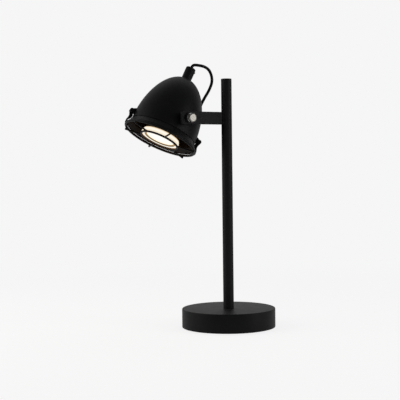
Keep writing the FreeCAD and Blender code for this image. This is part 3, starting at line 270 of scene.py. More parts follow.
def opaque_finish(name, colour, mottled, roughness, metallic=0.0, grain=0.4, bump=0.02, worn=None, wear=0.0,
                  dust=0.0, mottle=12.0, specular=0.5):
    """A finish whose mottle mixes two colours and two values of roughness; grain, bump and mottle are in mm."""
    material, tree, shader = new_material(name)
    shader.inputs["Metallic"].default_value = metallic
    shader.inputs["Specular IOR Level"].default_value = specular
    texture = group_node(tree, GRAIN, Grain_size_mm=grain, Mottle_size_mm=mottle)
    shade = mix_colours(tree, texture.outputs["Mottle"], colour, mottled)
    if wear:
        edges = group_node(tree, WEAR, Amount=wear, Breakup_size_mm=WEAR_BREAKUP)
        shade = mix_colours(tree, edges.outputs["Mask"], shade, worn)
    if dust:
        veil = group_node(tree, DUST, Amount=dust, Patch_size_mm=DUST_PATCH)
        shade = mix_colours(tree, veil.outputs["Mask"], shade, DUST_COLOUR)
    tree.links.new(shade, shader.inputs["Base Color"])
    tree.links.new(map_range(tree, texture.outputs["Mottle"], result=roughness), shader.inputs["Roughness"])
    relief = add_node(tree, "ShaderNodeBump")
    relief.inputs["Distance"].default_value = bump * MM
    tree.links.new(texture.outputs["Height"], relief.inputs["Height"])
    tree.links.new(relief.outputs["Normal"], shader.inputs["Normal"])
    return material


# %% The lamp's opaque finishes
POWDER_COAT = opaque_finish("black_powder_coat", (0.009, 0.009, 0.0095), (0.013, 0.013, 0.0135), (0.40, 0.50),
                            grain=0.45, bump=0.035, worn=(0.05, 0.05, 0.052), wear=0.4, dust=0.06, specular=0.2)
WIRE_ENAMEL = opaque_finish("black_wire_enamel", (0.008, 0.008, 0.0085), (0.012, 0.0115, 0.011), (0.32, 0.44),
                            grain=0.6, bump=0.02, worn=(0.06, 0.056, 0.052), wear=0.3, specular=0.2)
NICKEL = opaque_finish("bright_nickel", (0.52, 0.5, 0.455), (0.44, 0.42, 0.38), (0.3, 0.42), metallic=1.0,
                       grain=0.25, bump=0.006, worn=(0.8, 0.78, 0.74), wear=0.5)
ZINC = opaque_finish("zinc_plate", (0.5, 0.51, 0.53), (0.62, 0.62, 0.6), (0.28, 0.45), metallic=1.0,
                     grain=0.3, bump=0.01, mottle=4.0)
BRASS = opaque_finish("plain_brass", (0.68, 0.48, 0.2), (0.6, 0.4, 0.16), (0.25, 0.42), metallic=1.0,
                      grain=0.3, bump=0.008, mottle=5.0)
CAST_IRON = opaque_finish("cast_iron", (0.07, 0.068, 0.066), (0.12, 0.112, 0.1), (0.6, 0.8), metallic=0.6,
                          grain=1.2, bump=0.25, mottle=8.0)
FELT = opaque_finish("black_felt", (0.018, 0.018, 0.018), (0.04, 0.039, 0.038), (0.9, 1.0), grain=0.35, bump=0.25,
                     mottle=1.5)
RUBBER = opaque_finish("black_rubber", (0.014, 0.014, 0.014), (0.02, 0.02, 0.02), (0.55, 0.7), grain=0.5,
                       bump=0.02)
SHEATH = opaque_finish("cord_sheath", (0.007, 0.007, 0.0075), (0.012, 0.012, 0.0125), (0.55, 0.68), grain=0.7,
                       bump=0.03, mottle=6.0, specular=0.15)
MOULDED = opaque_finish("black_moulding", (0.018, 0.017, 0.016), (0.026, 0.025, 0.024), (0.3, 0.4), grain=0.3,
                        bump=0.008)
PORCELAIN = opaque_finish("glazed_porcelain", (0.78, 0.76, 0.7), (0.84, 0.82, 0.77), (0.12, 0.2), grain=1.0,
                          bump=0.01, mottle=7.0)
FIBRE = opaque_finish("vulcanised_fibre", (0.2, 0.07, 0.04), (0.14, 0.05, 0.035), (0.5, 0.65), grain=0.3,
                      bump=0.02, mottle=2.0)
print("opaque finishes:", len(bpy.data.materials))

# %% [markdown]
# The lamp is lit.  Its face is opal glass, which glows evenly and a little warmer towards its rim, with a dark line
# round the lens where the ledge is.  Its bowl is silvered inside, so from outside it looks like a dull mirror.
# What the camera sees is kept just below white, and the light that falls on the guard and the collar is warmer.

# %% Lit face and silvered bowl
LAMP_FRONT = -36.0
LAMP_SEEN, LAMP_ON_OTHERS = 1.0, 2.0
GLOW_ON_OTHERS = (1.0, 0.45, 0.12)
OPAL = (0.05, 0.05, 0.045, 1.0)
LENS_LINE = (0.13, 0.11, 0.05)
ACROSS_FACE = [
    (0.0, (1.0, 0.98, 0.93)), (22.8, (1.0, 0.96, 0.86)), (23.6, LENS_LINE), (26.1, LENS_LINE),
    (26.8, (1.0, 0.94, 0.8)), (29.5, (1.0, 0.96, 0.87)), (31.6, (0.95, 0.84, 0.62)), (32.6, (0.7, 0.52, 0.27)),
]
ALONG_SIDE = [
    (-36.0, (0.95, 0.86, 0.66)), (-34.5, (1.0, 0.96, 0.87)), (-31.0, (1.0, 0.93, 0.79)), (-29.0, (0.75, 0.52, 0.26)),
]
SIDE_LEVEL, SIDE_RADIUS = -34.8, 27.0
PEBBLE_SCALE, PEBBLE_DEPTH = 420.0, 0.15


def axis_place(tree):
    """Distance from the head's axis and level along it, in metres, at the point that is shaded."""
    place = add_node(tree, "ShaderNodeTexCoord")
    to_axis = add_node(tree, "ShaderNodeMapping")
    to_axis.inputs["Rotation"].default_value = HEAD.to_3x3().transposed().to_euler()
    to_axis.inputs["Location"].default_value = HEAD.inverted() @ Vector((0, 0, 0))
    tree.links.new(place.outputs["Object"], to_axis.inputs["Vector"])
    flat = add_node(tree, "ShaderNodeVectorMath", operation="MULTIPLY")
    flat.inputs[1].default_value = (1.0, 1.0, 0.0)
    tree.links.new(to_axis.outputs["Vector"], flat.inputs[0])
    away = add_node(tree, "ShaderNodeVectorMath", operation="LENGTH")
    tree.links.new(flat.outputs["Vector"], away.inputs[0])
    parts = add_node(tree, "ShaderNodeSeparateXYZ")
    tree.links.new(to_axis.outputs["Vector"], parts.inputs[0])
    return away.outputs["Value"], parts.outputs["Z"]


def colour_stops(tree, value, stops):
    """Colours that follow a value in metres; each stop is a place in millimetres and a colour."""
    low, high = stops[0][0], stops[-1][0]
    ramp = add_node(tree, "ShaderNodeValToRGB")
    elements = ramp.color_ramp.elements
    while len(elements) < len(stops):
        elements.new(0.5)
    for element, (spot, colour) in zip(elements, stops):
        element.position = (spot - low) / (high - low)
        element.color = (*colour, 1.0)
    tree.links.new(map_range(tree, value, (low * MM, high * MM)), ramp.inputs["Fac"])
    return ramp.outputs["Color"]


def lit_face_finish():
    """Opal glass, lit from behind: near white on the lens, dark in the ledge round it, amber at the rear edge."""
    material, tree, shader = new_material("lit_opal_glass")
    shader.inputs["Base Color"].default_value = OPAL
    shader.inputs["Roughness"].default_value = 0.35
    away, level = axis_place(tree)
    behind_face = math_node(tree, "GREATER_THAN", level, SIDE_LEVEL * MM)
    outside_lens = math_node(tree, "GREATER_THAN", away, SIDE_RADIUS * MM)
    on_side = math_node(tree, "MULTIPLY", behind_face, outside_lens)
    seen = mix_colours(tree, on_side, colour_stops(tree, away, ACROSS_FACE), colour_stops(tree, level, ALONG_SIDE))
    from_camera = add_node(tree, "ShaderNodeLightPath").outputs["Is Camera Ray"]
    tree.links.new(mix_colours(tree, from_camera, GLOW_ON_OTHERS, seen), shader.inputs["Emission Color"])
    tree.links.new(map_range(tree, from_camera, result=(LAMP_ON_OTHERS, LAMP_SEEN)),
                   shader.inputs["Emission Strength"])
    pebbles = add_node(tree, "ShaderNodeTexVoronoi", feature="F1")
    pebbles.inputs["Scale"].default_value = PEBBLE_SCALE
    place = add_node(tree, "ShaderNodeTexCoord")
    tree.links.new(place.outputs["Object"], pebbles.inputs["Vector"])
    relief = add_node(tree, "ShaderNodeBump")
    relief.inputs["Distance"].default_value = PEBBLE_DEPTH * MM
    tree.links.new(pebbles.outputs["Distance"], relief.inputs["Height"])
    tree.links.new(relief.outputs["Normal"], shader.inputs["Normal"])
    print("lit face centred on", tuple(round(c, 4) for c in head_point(0, 0, LAMP_FRONT)))
    return material


LIT_FACE = lit_face_finish()
SILVERED = opaque_finish("silvered_bowl", (0.8, 0.78, 0.74), (0.74, 0.71, 0.66), (0.12, 0.22), metallic=1.0,
                         grain=2.0, bump=0.004, mottle=15.0)

# %% Finish of each material slot
FINISHES = {
    "black_paint": POWDER_COAT, "black_wire": WIRE_ENAMEL, "iron": CAST_IRON, "zinc_steel": ZINC, "nickel": NICKEL,
    "felt": FELT, "black_rubber": RUBBER, "fibre": FIBRE, "black_cord": SHEATH, "black_plastic": MOULDED,
    "porcelain": PORCELAIN, "brass": BRASS, "lamp_glass": SILVERED, "lit_glass": LIT_FACE,
}
print("material slots:", ", ".join(FINISHES))

# %% [markdown]
# Most pieces of this lamp are turned or spun: the base, the post's cap, the bell, its collar, the neck and the
# lamp.  Each is one outline turned about an axis.  Sheet metal never has a truly sharp edge, so the outline's
# corners are rounded before it is turned, which costs nothing and catches the light as a real edge does.

# %% Turned pieces
LONGEST_ROUND = 0.49  # of the shorter edge at a corner, so that two arcs never meet
ON_AXIS = 1e-6


def round_corners(outline, steps=4):
    """Outline of (radius, height, rounding) corners in mm, with an arc at each corner that has a rounding."""
    points = []
    count = len(outline)
    for index, (radius, height, rounding) in enumerate(outline):
        here = Vector((radius, height))
        if not rounding:
            points.append(here)
            continue
        back = Vector(outline[index - 1][:2]) - here
        on = Vector(outline[(index + 1) % count][:2]) - here
        angle = back.angle(on)
        reach = min(rounding / math.tan(angle / 2), LONGEST_ROUND * back.length, LONGEST_ROUND * on.length)
        actual = reach * math.tan(angle / 2)
        centre = here + (back.normalized() + on.normalized()).normalized() * (actual / math.sin(angle / 2))
        first = here + back.normalized() * reach - centre
        last = here + on.normalized() * reach - centre
        for step in range(steps + 1):
            share = step / steps
            spoke = (first * (1 - share) + last * share).normalized() * actual
            points.append(centre + spoke)
    return points


def closed_mesh(name, shape):
    """The mesh of a finished shape, with its faces turned outwards."""
    bmesh.ops.recalc_face_normals(shape, faces=shape.faces)
    mesh = bpy.data.meshes.new(name)
    shape.to_mesh(mesh)
    shape.free()
    return mesh


def turned_mesh(name, points, steps, shaped=None):
    """Closed outline of (radius, height) points turned about Z; points on the axis become poles.

    shaped, where given, takes an angle, a radius and a height, and returns the radius to use there.
    """
    rows = []
    shape = bmesh.new()
    for radius, height in points:
        if radius < ON_AXIS:
            rows.append([shape.verts.new((0, 0, height * MM))] * steps)
            continue
        row = []
        for step in range(steps):
            angle = 2 * math.pi * step / steps
            actual = (shaped(angle, radius, height) if shaped else radius) * MM
            row.append(shape.verts.new((actual * math.cos(angle), actual * math.sin(angle), height * MM)))
        rows.append(row)
    for index, row in enumerate(rows):
        onward = rows[(index + 1) % len(rows)]
        for step in range(steps):
            following = (step + 1) % steps
            corners = []
            for vertex in (row[step], row[following], onward[following], onward[step]):
                if vertex not in corners:
                    corners.append(vertex)
            if len(corners) > 2:
                shape.faces.new(corners)
    return closed_mesh(name, shape)


def show(name, mesh, slot, body, replaced, place=None, sharp=35.0):
    """Puts a mesh in the scene at its place, with the finish of its slot, on its body, for the nodes it replaces."""
    if place is not None:
        mesh.transform(place)
    mesh.shade_smooth()
    mesh.set_sharp_from_angle(angle=math.radians(sharp))
    mesh.materials.clear()
    mesh.materials.append(FINISHES[slot])
    piece = bpy.data.objects.new(name, mesh)
    bpy.context.scene.collection.objects.link(piece)
    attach(piece, body)
    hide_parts(*replaced)
    print(f"{name}: {len(mesh.polygons)} faces on {body}")
    return piece


def show_turned(name, outline, slot, body, replaced, place=None, steps=96, arc=4, shaped=None):
    """Rounds an outline's corners, turns it and shows it."""
    show(name, turned_mesh(name, round_corners(outline, arc), steps, shaped), slot, body, replaced, place)


# %% [markdown]
# The free cord.  It is a round flexible cord 4.8 mm thick.  It leaves the gland on the neck, folds over behind the
# bell, hangs in a loop and goes into the post level with the arm.  The points below are control points of a smooth
# spline.  A mesh tube follows that spline, because the head moves and the cord has to bend with it.

# %% Free cord between neck and post
CORD_DIAMETER = 4.8 * MM
STRAIGHT_OUT = 6.5
gland_face = head_point(0, 0, GLAND_FACE)
cord_points = [
    gland_face,
    head_point(0, 0, GLAND_FACE + STRAIGHT_OUT),
    Vector((-0.0607, -0.0155, 0.4247)),
    Vector((-0.0605, 0.0009, 0.4227)),
    Vector((-0.0610, 0.0112, 0.4159)),
    Vector((-0.0620, 0.0167, 0.4008)),
    Vector((-0.0645, 0.0121, 0.3855)),
    Vector((-0.0675, 0.0020, 0.3695)),
    Vector((-0.0690, -0.0052, 0.3555)),
    Vector((-0.0665, -0.0108, 0.3430)),
    Vector((-0.0580, -0.0115, 0.3335)),
    Vector((-0.0450, -0.0075, 0.3305)),
    Vector((-0.0280, -0.0025, 0.3317)),
    Vector((-0.0180, 0.0000, 0.3352)),
    Vector((-0.0099, 0.0000, 0.3352)),
]


def spline_points(name, points):
    """Points along the smooth spline that has these control points."""
    curve = bpy.data.curves.new(name, "CURVE")
    curve.dimensions = "3D"
    curve.resolution_u = 10
    spline = curve.splines.new("NURBS")
    spline.points.add(len(points) - 1)
    for point, spot in zip(spline.points, points):
        point.co = (*spot, 1.0)
    spline.order_u = 3
    spline.use_endpoint_u = True
    carrier = bpy.data.objects.new(name, curve)
    bpy.context.scene.collection.objects.link(carrier)
    bpy.context.view_layer.update()
    line = bpy.data.meshes.new_from_object(carrier)
    path = [vertex.co.copy() for vertex in line.vertices]
    bpy.data.objects.remove(carrier)
    return path


def tube_mesh(name, path, diameter, sides=20):
    """Round tube along a path, closed at both ends, with a frame that doesn't twist."""
    shape = bmesh.new()
    rings = []
    side = None
    for index, spot in enumerate(path):
        along = (path[min(index + 1, len(path) - 1)] - path[max(index - 1, 0)]).normalized()
        if side is None:
            side = along.orthogonal().normalized()
        side = (side - along * side.dot(along)).normalized()
        other = along.cross(side)
        ring = []
        for step in range(sides):
            angle = 2 * math.pi * step / sides
            ring.append(shape.verts.new(spot + (side * math.cos(angle) + other * math.sin(angle)) * diameter / 2))
        rings.append(ring)
    for ring, onward in zip(rings, rings[1:]):
        for step in range(sides):
            following = (step + 1) % sides
            shape.faces.new((ring[step], ring[following], onward[following], onward[step]))
    shape.faces.new(rings[0][::-1])
    shape.faces.new(rings[-1])
    return closed_mesh(name, shape)


cord_path = spline_points("cord_route", cord_points)
head_cord = show("head_cord_sheath", tube_mesh("head_cord_sheath", cord_path, CORD_DIAMETER), "black_cord", "stand",
                 ["head_cord"], sharp=60)
# The cord is taken off its body, so it has no parent, and its place is baked into its mesh.
head_cord.parent = None
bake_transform(head_cord)

# %% [markdown]
# Floor, backdrop and light.  The floor is a plain pale sheet.  Its own emission lifts what the camera sees of it to
# an even light grey.  Matt surfaces aren't lit by that emission, and shiny ones mirror only a part of it, so black
# paint stays black.  The backdrop does the same, and is mirrored only from beyond the lamp, where the camera looks.

# %% Floor and background
BACKGROUND = 0.92
FLOOR_LIT = 0.115
FLOOR_COLOUR = (0.5, 0.5, 0.5)
NEAR, FAR, FLOOR_REACH = 0.3, 1.1, 4.0
ROOM = 0.12
MIRRORED = 0.4
BEYOND_LAMP = (0.1, 0.75)


def camera_sees(tree, mirrored=MIRRORED):
    """1 for rays from the camera, straight or through glass, less for mirror rays, 0 for light on matt surfaces."""
    rays = add_node(tree, "ShaderNodeLightPath").outputs
    straight = math_node(tree, "MAXIMUM", rays["Is Camera Ray"], rays["Is Transmission Ray"])
    return math_node(tree, "MAXIMUM", straight, math_node(tree, "MULTIPLY", rays["Is Glossy Ray"], mirrored))


def pale_floor_finish():
    """Near the lamp the floor takes light and shadow; further out it fades into the even background."""
    material, tree, shader = new_material("pale_floor")
    shader.inputs["Roughness"].default_value = 0.9
    shader.inputs["Specular IOR Level"].default_value = 0.0
    shader.inputs["Emission Color"].default_value = (1.0, 1.0, 1.0, 1.0)
    place = add_node(tree, "ShaderNodeTexCoord")
    away = add_node(tree, "ShaderNodeVectorMath", operation="LENGTH")
    tree.links.new(place.outputs["Object"], away.inputs[0])
    fade = map_range(tree, away.outputs["Value"], (NEAR, FAR), interpolation_type="SMOOTHSTEP")
    tree.links.new(mix_colours(tree, fade, FLOOR_COLOUR, (0.0, 0.0, 0.0)), shader.inputs["Base Color"])
    level = map_range(tree, fade, result=(BACKGROUND - FLOOR_LIT, BACKGROUND))
    tree.links.new(math_node(tree, "MULTIPLY", camera_sees(tree), level), shader.inputs["Emission Strength"])
    return material


floor_mesh = bpy.data.meshes.new("floor")
floor_corners = [(FLOOR_REACH * x, FLOOR_REACH * y, 0) for x, y in ((-1, -1), (1, -1), (1, 1), (-1, 1))]
floor_mesh.from_pydata(floor_corners, [], [(0, 1, 2, 3)])
floor_mesh.materials.append(pale_floor_finish())
floor = bpy.data.objects.new("floor", floor_mesh)
bpy.context.scene.collection.objects.link(floor)

world = bpy.data.worlds.new("studio")
world.use_nodes = True
bpy.context.scene.world = world
sky = world.node_tree
surface = sky.nodes["Background"]
direction = add_node(sky, "ShaderNodeTexCoord")
forward = add_node(sky, "ShaderNodeVectorMath", operation="DOT_PRODUCT")
forward.inputs[1].default_value = ahead
sky.links.new(direction.outputs["Generated"], forward.inputs[0])
backdrop = map_range(sky, forward.outputs["Value"], BEYOND_LAMP, (0.0, MIRRORED), interpolation_type="SMOOTHSTEP")
sky.links.new(map_range(sky, camera_sees(sky, backdrop), result=(ROOM, BACKGROUND)), surface.inputs["Strength"])
surface.inputs["Color"].default_value = (1.0, 1.0, 1.0, 1.0)
print("floor reaches", FLOOR_REACH, "m; background", BACKGROUND)

# %% Soft lights
LIT_SPOT = Vector((-0.03, -0.04, 0.22))


def soft_light(name, right, forward, height, width, tall, power):
    """Area light placed across and along the camera's view and above the floor, and turned to the lamp."""
    data = bpy.data.lights.new(name, "AREA")
    data.shape = "RECTANGLE"
    data.size = width
    data.size_y = tall
    data.energy = power
    light = bpy.data.objects.new(name, data)
    spot = across * right + ahead * forward + Vector((0, 0, height))
    toward = (LIT_SPOT - spot).to_track_quat("-Z", "Y").to_matrix().to_4x4()
    light.matrix_world = Matrix.Translation(spot) @ toward
    bpy.context.scene.collection.objects.link(light)
    print(f"{name}: {power} W, {width} by {tall} m")


soft_light("left_softbox", right=-1.2, forward=-0.15, height=0.55, width=1.1, tall=1.2, power=3.0)
soft_light("right_softbox", right=1.25, forward=-0.5, height=0.45, width=0.45, tall=1.0, power=2.8)
soft_light("top_softbox", right=0.0, forward=0.6, height=1.5, width=1.4, tall=0.8, power=1.0)
bpy.context.scene.view_settings.view_transform = "Standard"

# %% [markdown]
# The base is a pressed steel drum over an iron weight.  The post is drawn tube, which keeps its CAD shape, and its
# cap is turned.  Base and cap are outlines turned about the upright axis.

# %% Base cover and post cap
ROD_HOLE = 5.05
BASE_RADIUS, BASE_TOP, BASE_EDGE, BASE_WALL = 75.0, 31.0, 1.0, 1.5
POST_RADIUS, POST_BORE = 8.5, 6.95
CAP_TOP, CAP_FLANGE, CAP_PLUG = 398.4, 396.8, 388.8
base_outline = [
    (ROD_HOLE, BASE_TOP, 0), (ROD_HOLE, BASE_TOP - BASE_WALL, 0),
    (BASE_RADIUS - BASE_WALL, BASE_TOP - BASE_WALL, 1.0), (BASE_RADIUS - BASE_WALL, BASE_EDGE, 0.3),
    (BASE_RADIUS, BASE_EDGE, 0.5), (BASE_RADIUS, BASE_TOP, 1.4),
]
show_turned("base_drum", base_outline, "black_paint", "stand", ["base_cover"], steps=160, arc=6)
cap_outline = [
    (0, CAP_PLUG, 0), (POST_BORE, CAP_PLUG, 0.3), (POST_BORE, CAP_FLANGE, 0), (POST_RADIUS, CAP_FLANGE, 0),
    (POST_RADIUS, CAP_TOP, 1.5), (0, CAP_TOP, 0),
]
show_turned("post_end_cap", cap_outline, "black_paint", "stand", ["post_cap"], steps=64)

# %% [markdown]
# The bell is spun from sheet: half an ellipsoid, open at the apex for a threaded rod.  Its collar sits inside the
# lip, leaves a dark groove and flares to a beaded edge.

# %% Bell and collar
BELL_RADIUS, BELL_WALL = 54.6, 1.2
BELL_ARC = math.radians(84.6)  # from the lip to the hole at the apex
COLLAR_INSIDE, COLLAR_OUTSIDE, COLLAR_TOP = 51.85, 53.25, -16.5
SHOULDER_LEVEL, FLARE_LEVEL = -22.6, -24.1
BEAD_AT, BEAD_LEVEL, BEAD_RADIUS = 58.0, -31.85, 1.2


def bell_outline(count=48):
    """Half section of the bell's wall: up the outside, down the inside."""
    outside, inside = [], []
    for step in range(count + 1):
        angle = BELL_ARC * step / count
        outside.append((BELL_RADIUS * math.cos(angle), LIP_LEVEL + BELL_HEIGHT * math.sin(angle)))
        inside.append(((BELL_RADIUS - BELL_WALL) * math.cos(angle),
                       LIP_LEVEL + (BELL_HEIGHT - BELL_WALL) * math.sin(angle)))
    return outside + inside[::-1]


show("spun_bell", turned_mesh("spun_bell", bell_outline(), 128), "black_paint", "head", ["bell_shell"], HEAD)
rolled_edge = [(BEAD_AT + BEAD_RADIUS * math.cos(math.radians(angle)),
                BEAD_LEVEL + BEAD_RADIUS * math.sin(math.radians(angle)), 0) for angle in range(-90, 90, 30)]
collar_outline = [
    (COLLAR_INSIDE, COLLAR_TOP, 0.3), (COLLAR_INSIDE, FLARE_LEVEL, 0.8), (56.6, BEAD_LEVEL, 0.6),
    (56.6, BEAD_LEVEL - BEAD_RADIUS, 0.3), *rolled_edge, (BEAD_AT, BEAD_LEVEL + BEAD_RADIUS, 0.2),
    (54.65, FLARE_LEVEL, 0.6), (53.95, SHOULDER_LEVEL, 0.2), (COLLAR_OUTSIDE, SHOULDER_LEVEL, 0),
    (COLLAR_OUTSIDE, COLLAR_TOP, 0.3),
]
show_turned("flared_collar", collar_outline, "black_paint", "head", ["rim_collar"], HEAD, steps=128)

# %% [markdown]
# The guard is a welded wire cage.  Such a thing repeats itself, so Geometry Nodes grows it: two wires are bent into
# the outer and the centre ring, one spoke is copied round the axis, and a small weld sits wherever two wires cross.
# The tree's inputs are the sizes, so the cage can be changed without touching the tree.

# %% Node tree for the guard
def linked(tree, kind, place, wires, **settings):
    """Adds a node and gives each named input either a socket to follow or a plain value."""
    node = add_node(tree, kind, place, **settings)
    for name, source in wires.items():
        socket = node.inputs[name]
        if isinstance(source, bpy.types.NodeSocket):
            tree.links.new(source, socket)
        else:
            socket.default_value = source
    return node


def vector_of(tree, place, **parts):
    """Vector put together from the parts that are given; the others are 0."""
    return linked(tree, "ShaderNodeCombineXYZ", place, parts).outputs[0]


def close_tree(tree, geometry, finish, right):
    """Ends a tree from a place on: copies are made real, the finish is set and the mesh is given out."""
    real = linked(tree, "GeometryNodeRealizeInstances", (right, 0), {"Geometry": geometry})
    done = linked(tree, "GeometryNodeSetMaterial", (right + 200, 0),
                  {"Geometry": real.outputs[0], "Material": finish})
    ends_out = add_node(tree, "NodeGroupOutput", (right + 400, 0))
    tree.links.new(done.outputs[0], ends_out.inputs[0])


OUTER_WELD_SHAPE, INNER_WELD_SHAPE = (1.25, 1.15, 0.62), (0.62, 1.1, 0.8)
INNER_WELD_SEAT = 0.85  # of the centre ring's wire, out from its middle


def wire_guard_tree():
    """Node tree that grows the guard about Z."""
    tree = bpy.data.node_groups.new("wire_guard", "GeometryNodeTree")
    for name in ("Ring radius", "Ring wire", "Ring level", "Centre radius", "Centre wire", "Spoke start", "Spoke end",
                 "Spoke wire", "Spoke level", "Weld size"):
        add_socket(tree, name, "INPUT", "NodeSocketFloat", 0.01)
    add_socket(tree, "First angle", "INPUT", "NodeSocketFloat", 0.0)
    add_socket(tree, "Spokes", "INPUT", "NodeSocketInt", 6)
    add_socket(tree, "Finish", "INPUT", "NodeSocketMaterial")
    add_socket(tree, "Guard", "OUTPUT", "NodeSocketGeometry")
    given = add_node(tree, "NodeGroupInput", (-1400, 0)).outputs

    def bent_ring(radius, wire, level, height):
        """Wire ring at a level; height is only where its nodes sit in the editor."""
        circle = "GeometryNodeCurvePrimitiveCircle"
        line = linked(tree, circle, (-900, height), {"Resolution": 180, "Radius": radius})
        section = linked(tree, circle, (-900, height - 150), {"Resolution": 20, "Radius": wire})
        solid = linked(tree, "GeometryNodeCurveToMesh", (-650, height),
                       {"Curve": line.outputs["Curve"], "Profile Curve": section.outputs["Curve"]})
        return linked(tree, "GeometryNodeTransform", (-400, height), {
            "Geometry": solid.outputs["Mesh"], "Translation": vector_of(tree, (-1100, height), Z=level),
        }).outputs["Geometry"]

    outer = bent_ring(given["Ring radius"], given["Ring wire"], given["Ring level"], 600)
    centre = bent_ring(given["Centre radius"], given["Centre wire"], given["Spoke level"], 250)

    length = math_node(tree, "SUBTRACT", given["Spoke end"], given["Spoke start"])
    middle = math_node(tree, "MULTIPLY", math_node(tree, "ADD", given["Spoke end"], given["Spoke start"]), 0.5)
    rod = linked(tree, "GeometryNodeMeshCylinder", (-900, -100),
                 {"Vertices": 20, "Side Segments": 8, "Radius": given["Spoke wire"], "Depth": length},
                 fill_type="NGON")
    spoke = linked(tree, "GeometryNodeTransform", (-650, -100), {
        "Geometry": rod.outputs["Mesh"], "Rotation": (0.0, math.pi / 2, 0.0),
        "Translation": vector_of(tree, (-800, -250), X=middle, Z=given["Spoke level"])})
    bead = linked(tree, "GeometryNodeMeshUVSphere", (-900, -450),
                  {"Segments": 20, "Rings": 12, "Radius": given["Weld size"]})
    touch = math_node(tree, "SUBTRACT", given["Ring level"], given["Ring wire"])
    outer_weld = linked(tree, "GeometryNodeTransform", (-650, -450), {
        "Geometry": bead.outputs["Mesh"], "Scale": OUTER_WELD_SHAPE,
        "Translation": vector_of(tree, (-800, -600), X=given["Ring radius"], Z=touch)})
    out_from_wire = math_node(tree, "MULTIPLY", given["Centre wire"], INNER_WELD_SEAT)
    seat = math_node(tree, "ADD", given["Centre radius"], out_from_wire)
    inner_weld = linked(tree, "GeometryNodeTransform", (-650, -750), {
        "Geometry": bead.outputs["Mesh"], "Scale": INNER_WELD_SHAPE,
        "Translation": vector_of(tree, (-800, -900), X=seat, Z=given["Spoke level"])})
    arm = add_node(tree, "GeometryNodeJoinGeometry", (-400, -400))
    for part in (spoke, outer_weld, inner_weld):
        tree.links.new(part.outputs["Geometry"], arm.inputs["Geometry"])

    spots = linked(tree, "GeometryNodePoints", (-650, -1100), {"Count": given["Spokes"]})
    share = math_node(tree, "DIVIDE", 2 * math.pi, given["Spokes"])
    index = add_node(tree, "GeometryNodeInputIndex", (-1100, -1200))
    turn = math_node(tree, "ADD", math_node(tree, "MULTIPLY", index.outputs[0], share), given["First angle"])
    copies = linked(tree, "GeometryNodeInstanceOnPoints", (-200, -700), {
        "Points": spots.outputs[0], "Instance": arm.outputs[0], "Rotation": vector_of(tree, (-500, -1250), Z=turn)})
    cage = add_node(tree, "GeometryNodeJoinGeometry", (100, 0))
    for part in (outer, centre, copies.outputs["Instances"]):
        tree.links.new(part, cage.inputs["Geometry"])
    close_tree(tree, cage.outputs[0], given["Finish"], 300)
    return tree


def grown_mesh(name, tree, **values):
    """Mesh that a node tree grows from nothing but its inputs."""
    carrier = bpy.data.objects.new(name, bpy.data.meshes.new(name + "_seed"))
    bpy.context.scene.collection.objects.link(carrier)
    modifier = carrier.modifiers.new("grow", "NODES")
    modifier.node_group = tree
    for item in tree.interface.items_tree:
        key = item.name.replace(" ", "_")
        if item.in_out == "INPUT" and key in values:
            modifier[item.identifier] = values[key]
    graph = bpy.context.evaluated_depsgraph_get()
    mesh = bpy.data.meshes.new_from_object(carrier.evaluated_get(graph), depsgraph=graph)
    bpy.data.objects.remove(carrier)
    mesh.name = name
    return mesh


# %% Guard
guard_mesh = grown_mesh(
    "guard_wirework", wire_guard_tree(), Ring_radius=59.6 * MM, Ring_wire=2.0 * MM, Ring_level=-34.9 * MM,
    Centre_radius=31.0 * MM, Centre_wire=1.7 * MM, Spoke_start=31.4 * MM, Spoke_end=61.2 * MM, Spoke_wire=1.4 * MM,
    Spoke_level=-38.3 * MM, Weld_size=1.9 * MM, First_angle=math.radians(-17.5), Spokes=6, Finish=WIRE_ENAMEL)
show("guard_wirework", guard_mesh, "black_wire", "head", ["guard_ring", "guard_spokes", "guard_centre_ring"], HEAD,
     sharp=50)

# %% [markdown]
# Plates, washers and the bar are cut from sheet and bar.  The frame's own meshes are exact but knife-edged, so each
# is copied, its flat faces are merged, and its sharp edges get a small round, as tumbling and paint give them.

# %% Pieces with softened edges
SAME_POINT = 0.002
FLAT_ANGLE, EDGE_ANGLE = math.radians(0.6), math.radians(32)


def softened(name, node, body, slot, width, segments=2):
    """A copy of a CAD node's mesh whose sharp edges are rounded by a width in millimetres."""
    source = frame["nodes"][node]
    shape = bmesh.new()
    shape.from_mesh(source.data)
    shape.transform(source.matrix_world)
    bmesh.ops.remove_doubles(shape, verts=shape.verts, dist=SAME_POINT * MM)
    bmesh.ops.dissolve_limit(shape, angle_limit=FLAT_ANGLE, verts=shape.verts, edges=shape.edges)
    sharp = [edge for edge in shape.edges if len(edge.link_faces) == 2 and edge.calc_face_angle() > EDGE_ANGLE]
    bmesh.ops.bevel(shape, geom=sharp, offset=width * MM, segments=segments, profile=0.5, affect="EDGES",
                    clamp_overlap=True)
    show(name, closed_mesh(name, shape), slot, body, [node], sharp=40)


# %% Bar, washers, lugs and straps
softened("flat_arm", "arm_bar", "stand", "black_paint", 0.4, 3)
softened("bolt_flat_washer", "flat_washer", "head", "black_paint", 0.25)
softened("bolt_spring_washer", "spring_washer", "head", "zinc_steel", 0.2)
softened("tilt_friction_washer", "friction_washer", "head", "fibre", 0.15)
softened("bell_lug_plates", "bell_lugs", "head", "black_paint", 0.3)
softened("guard_strap_plates", "guard_straps", "head", "black_paint", 0.35, 3)

# %% [markdown]
# Two screws clamp the straps.  Their heads are knurled for the fingers, with a hollow in the face.  They are turned
# outlines too, but the radius depends on the angle, so the same function cuts the grooves.

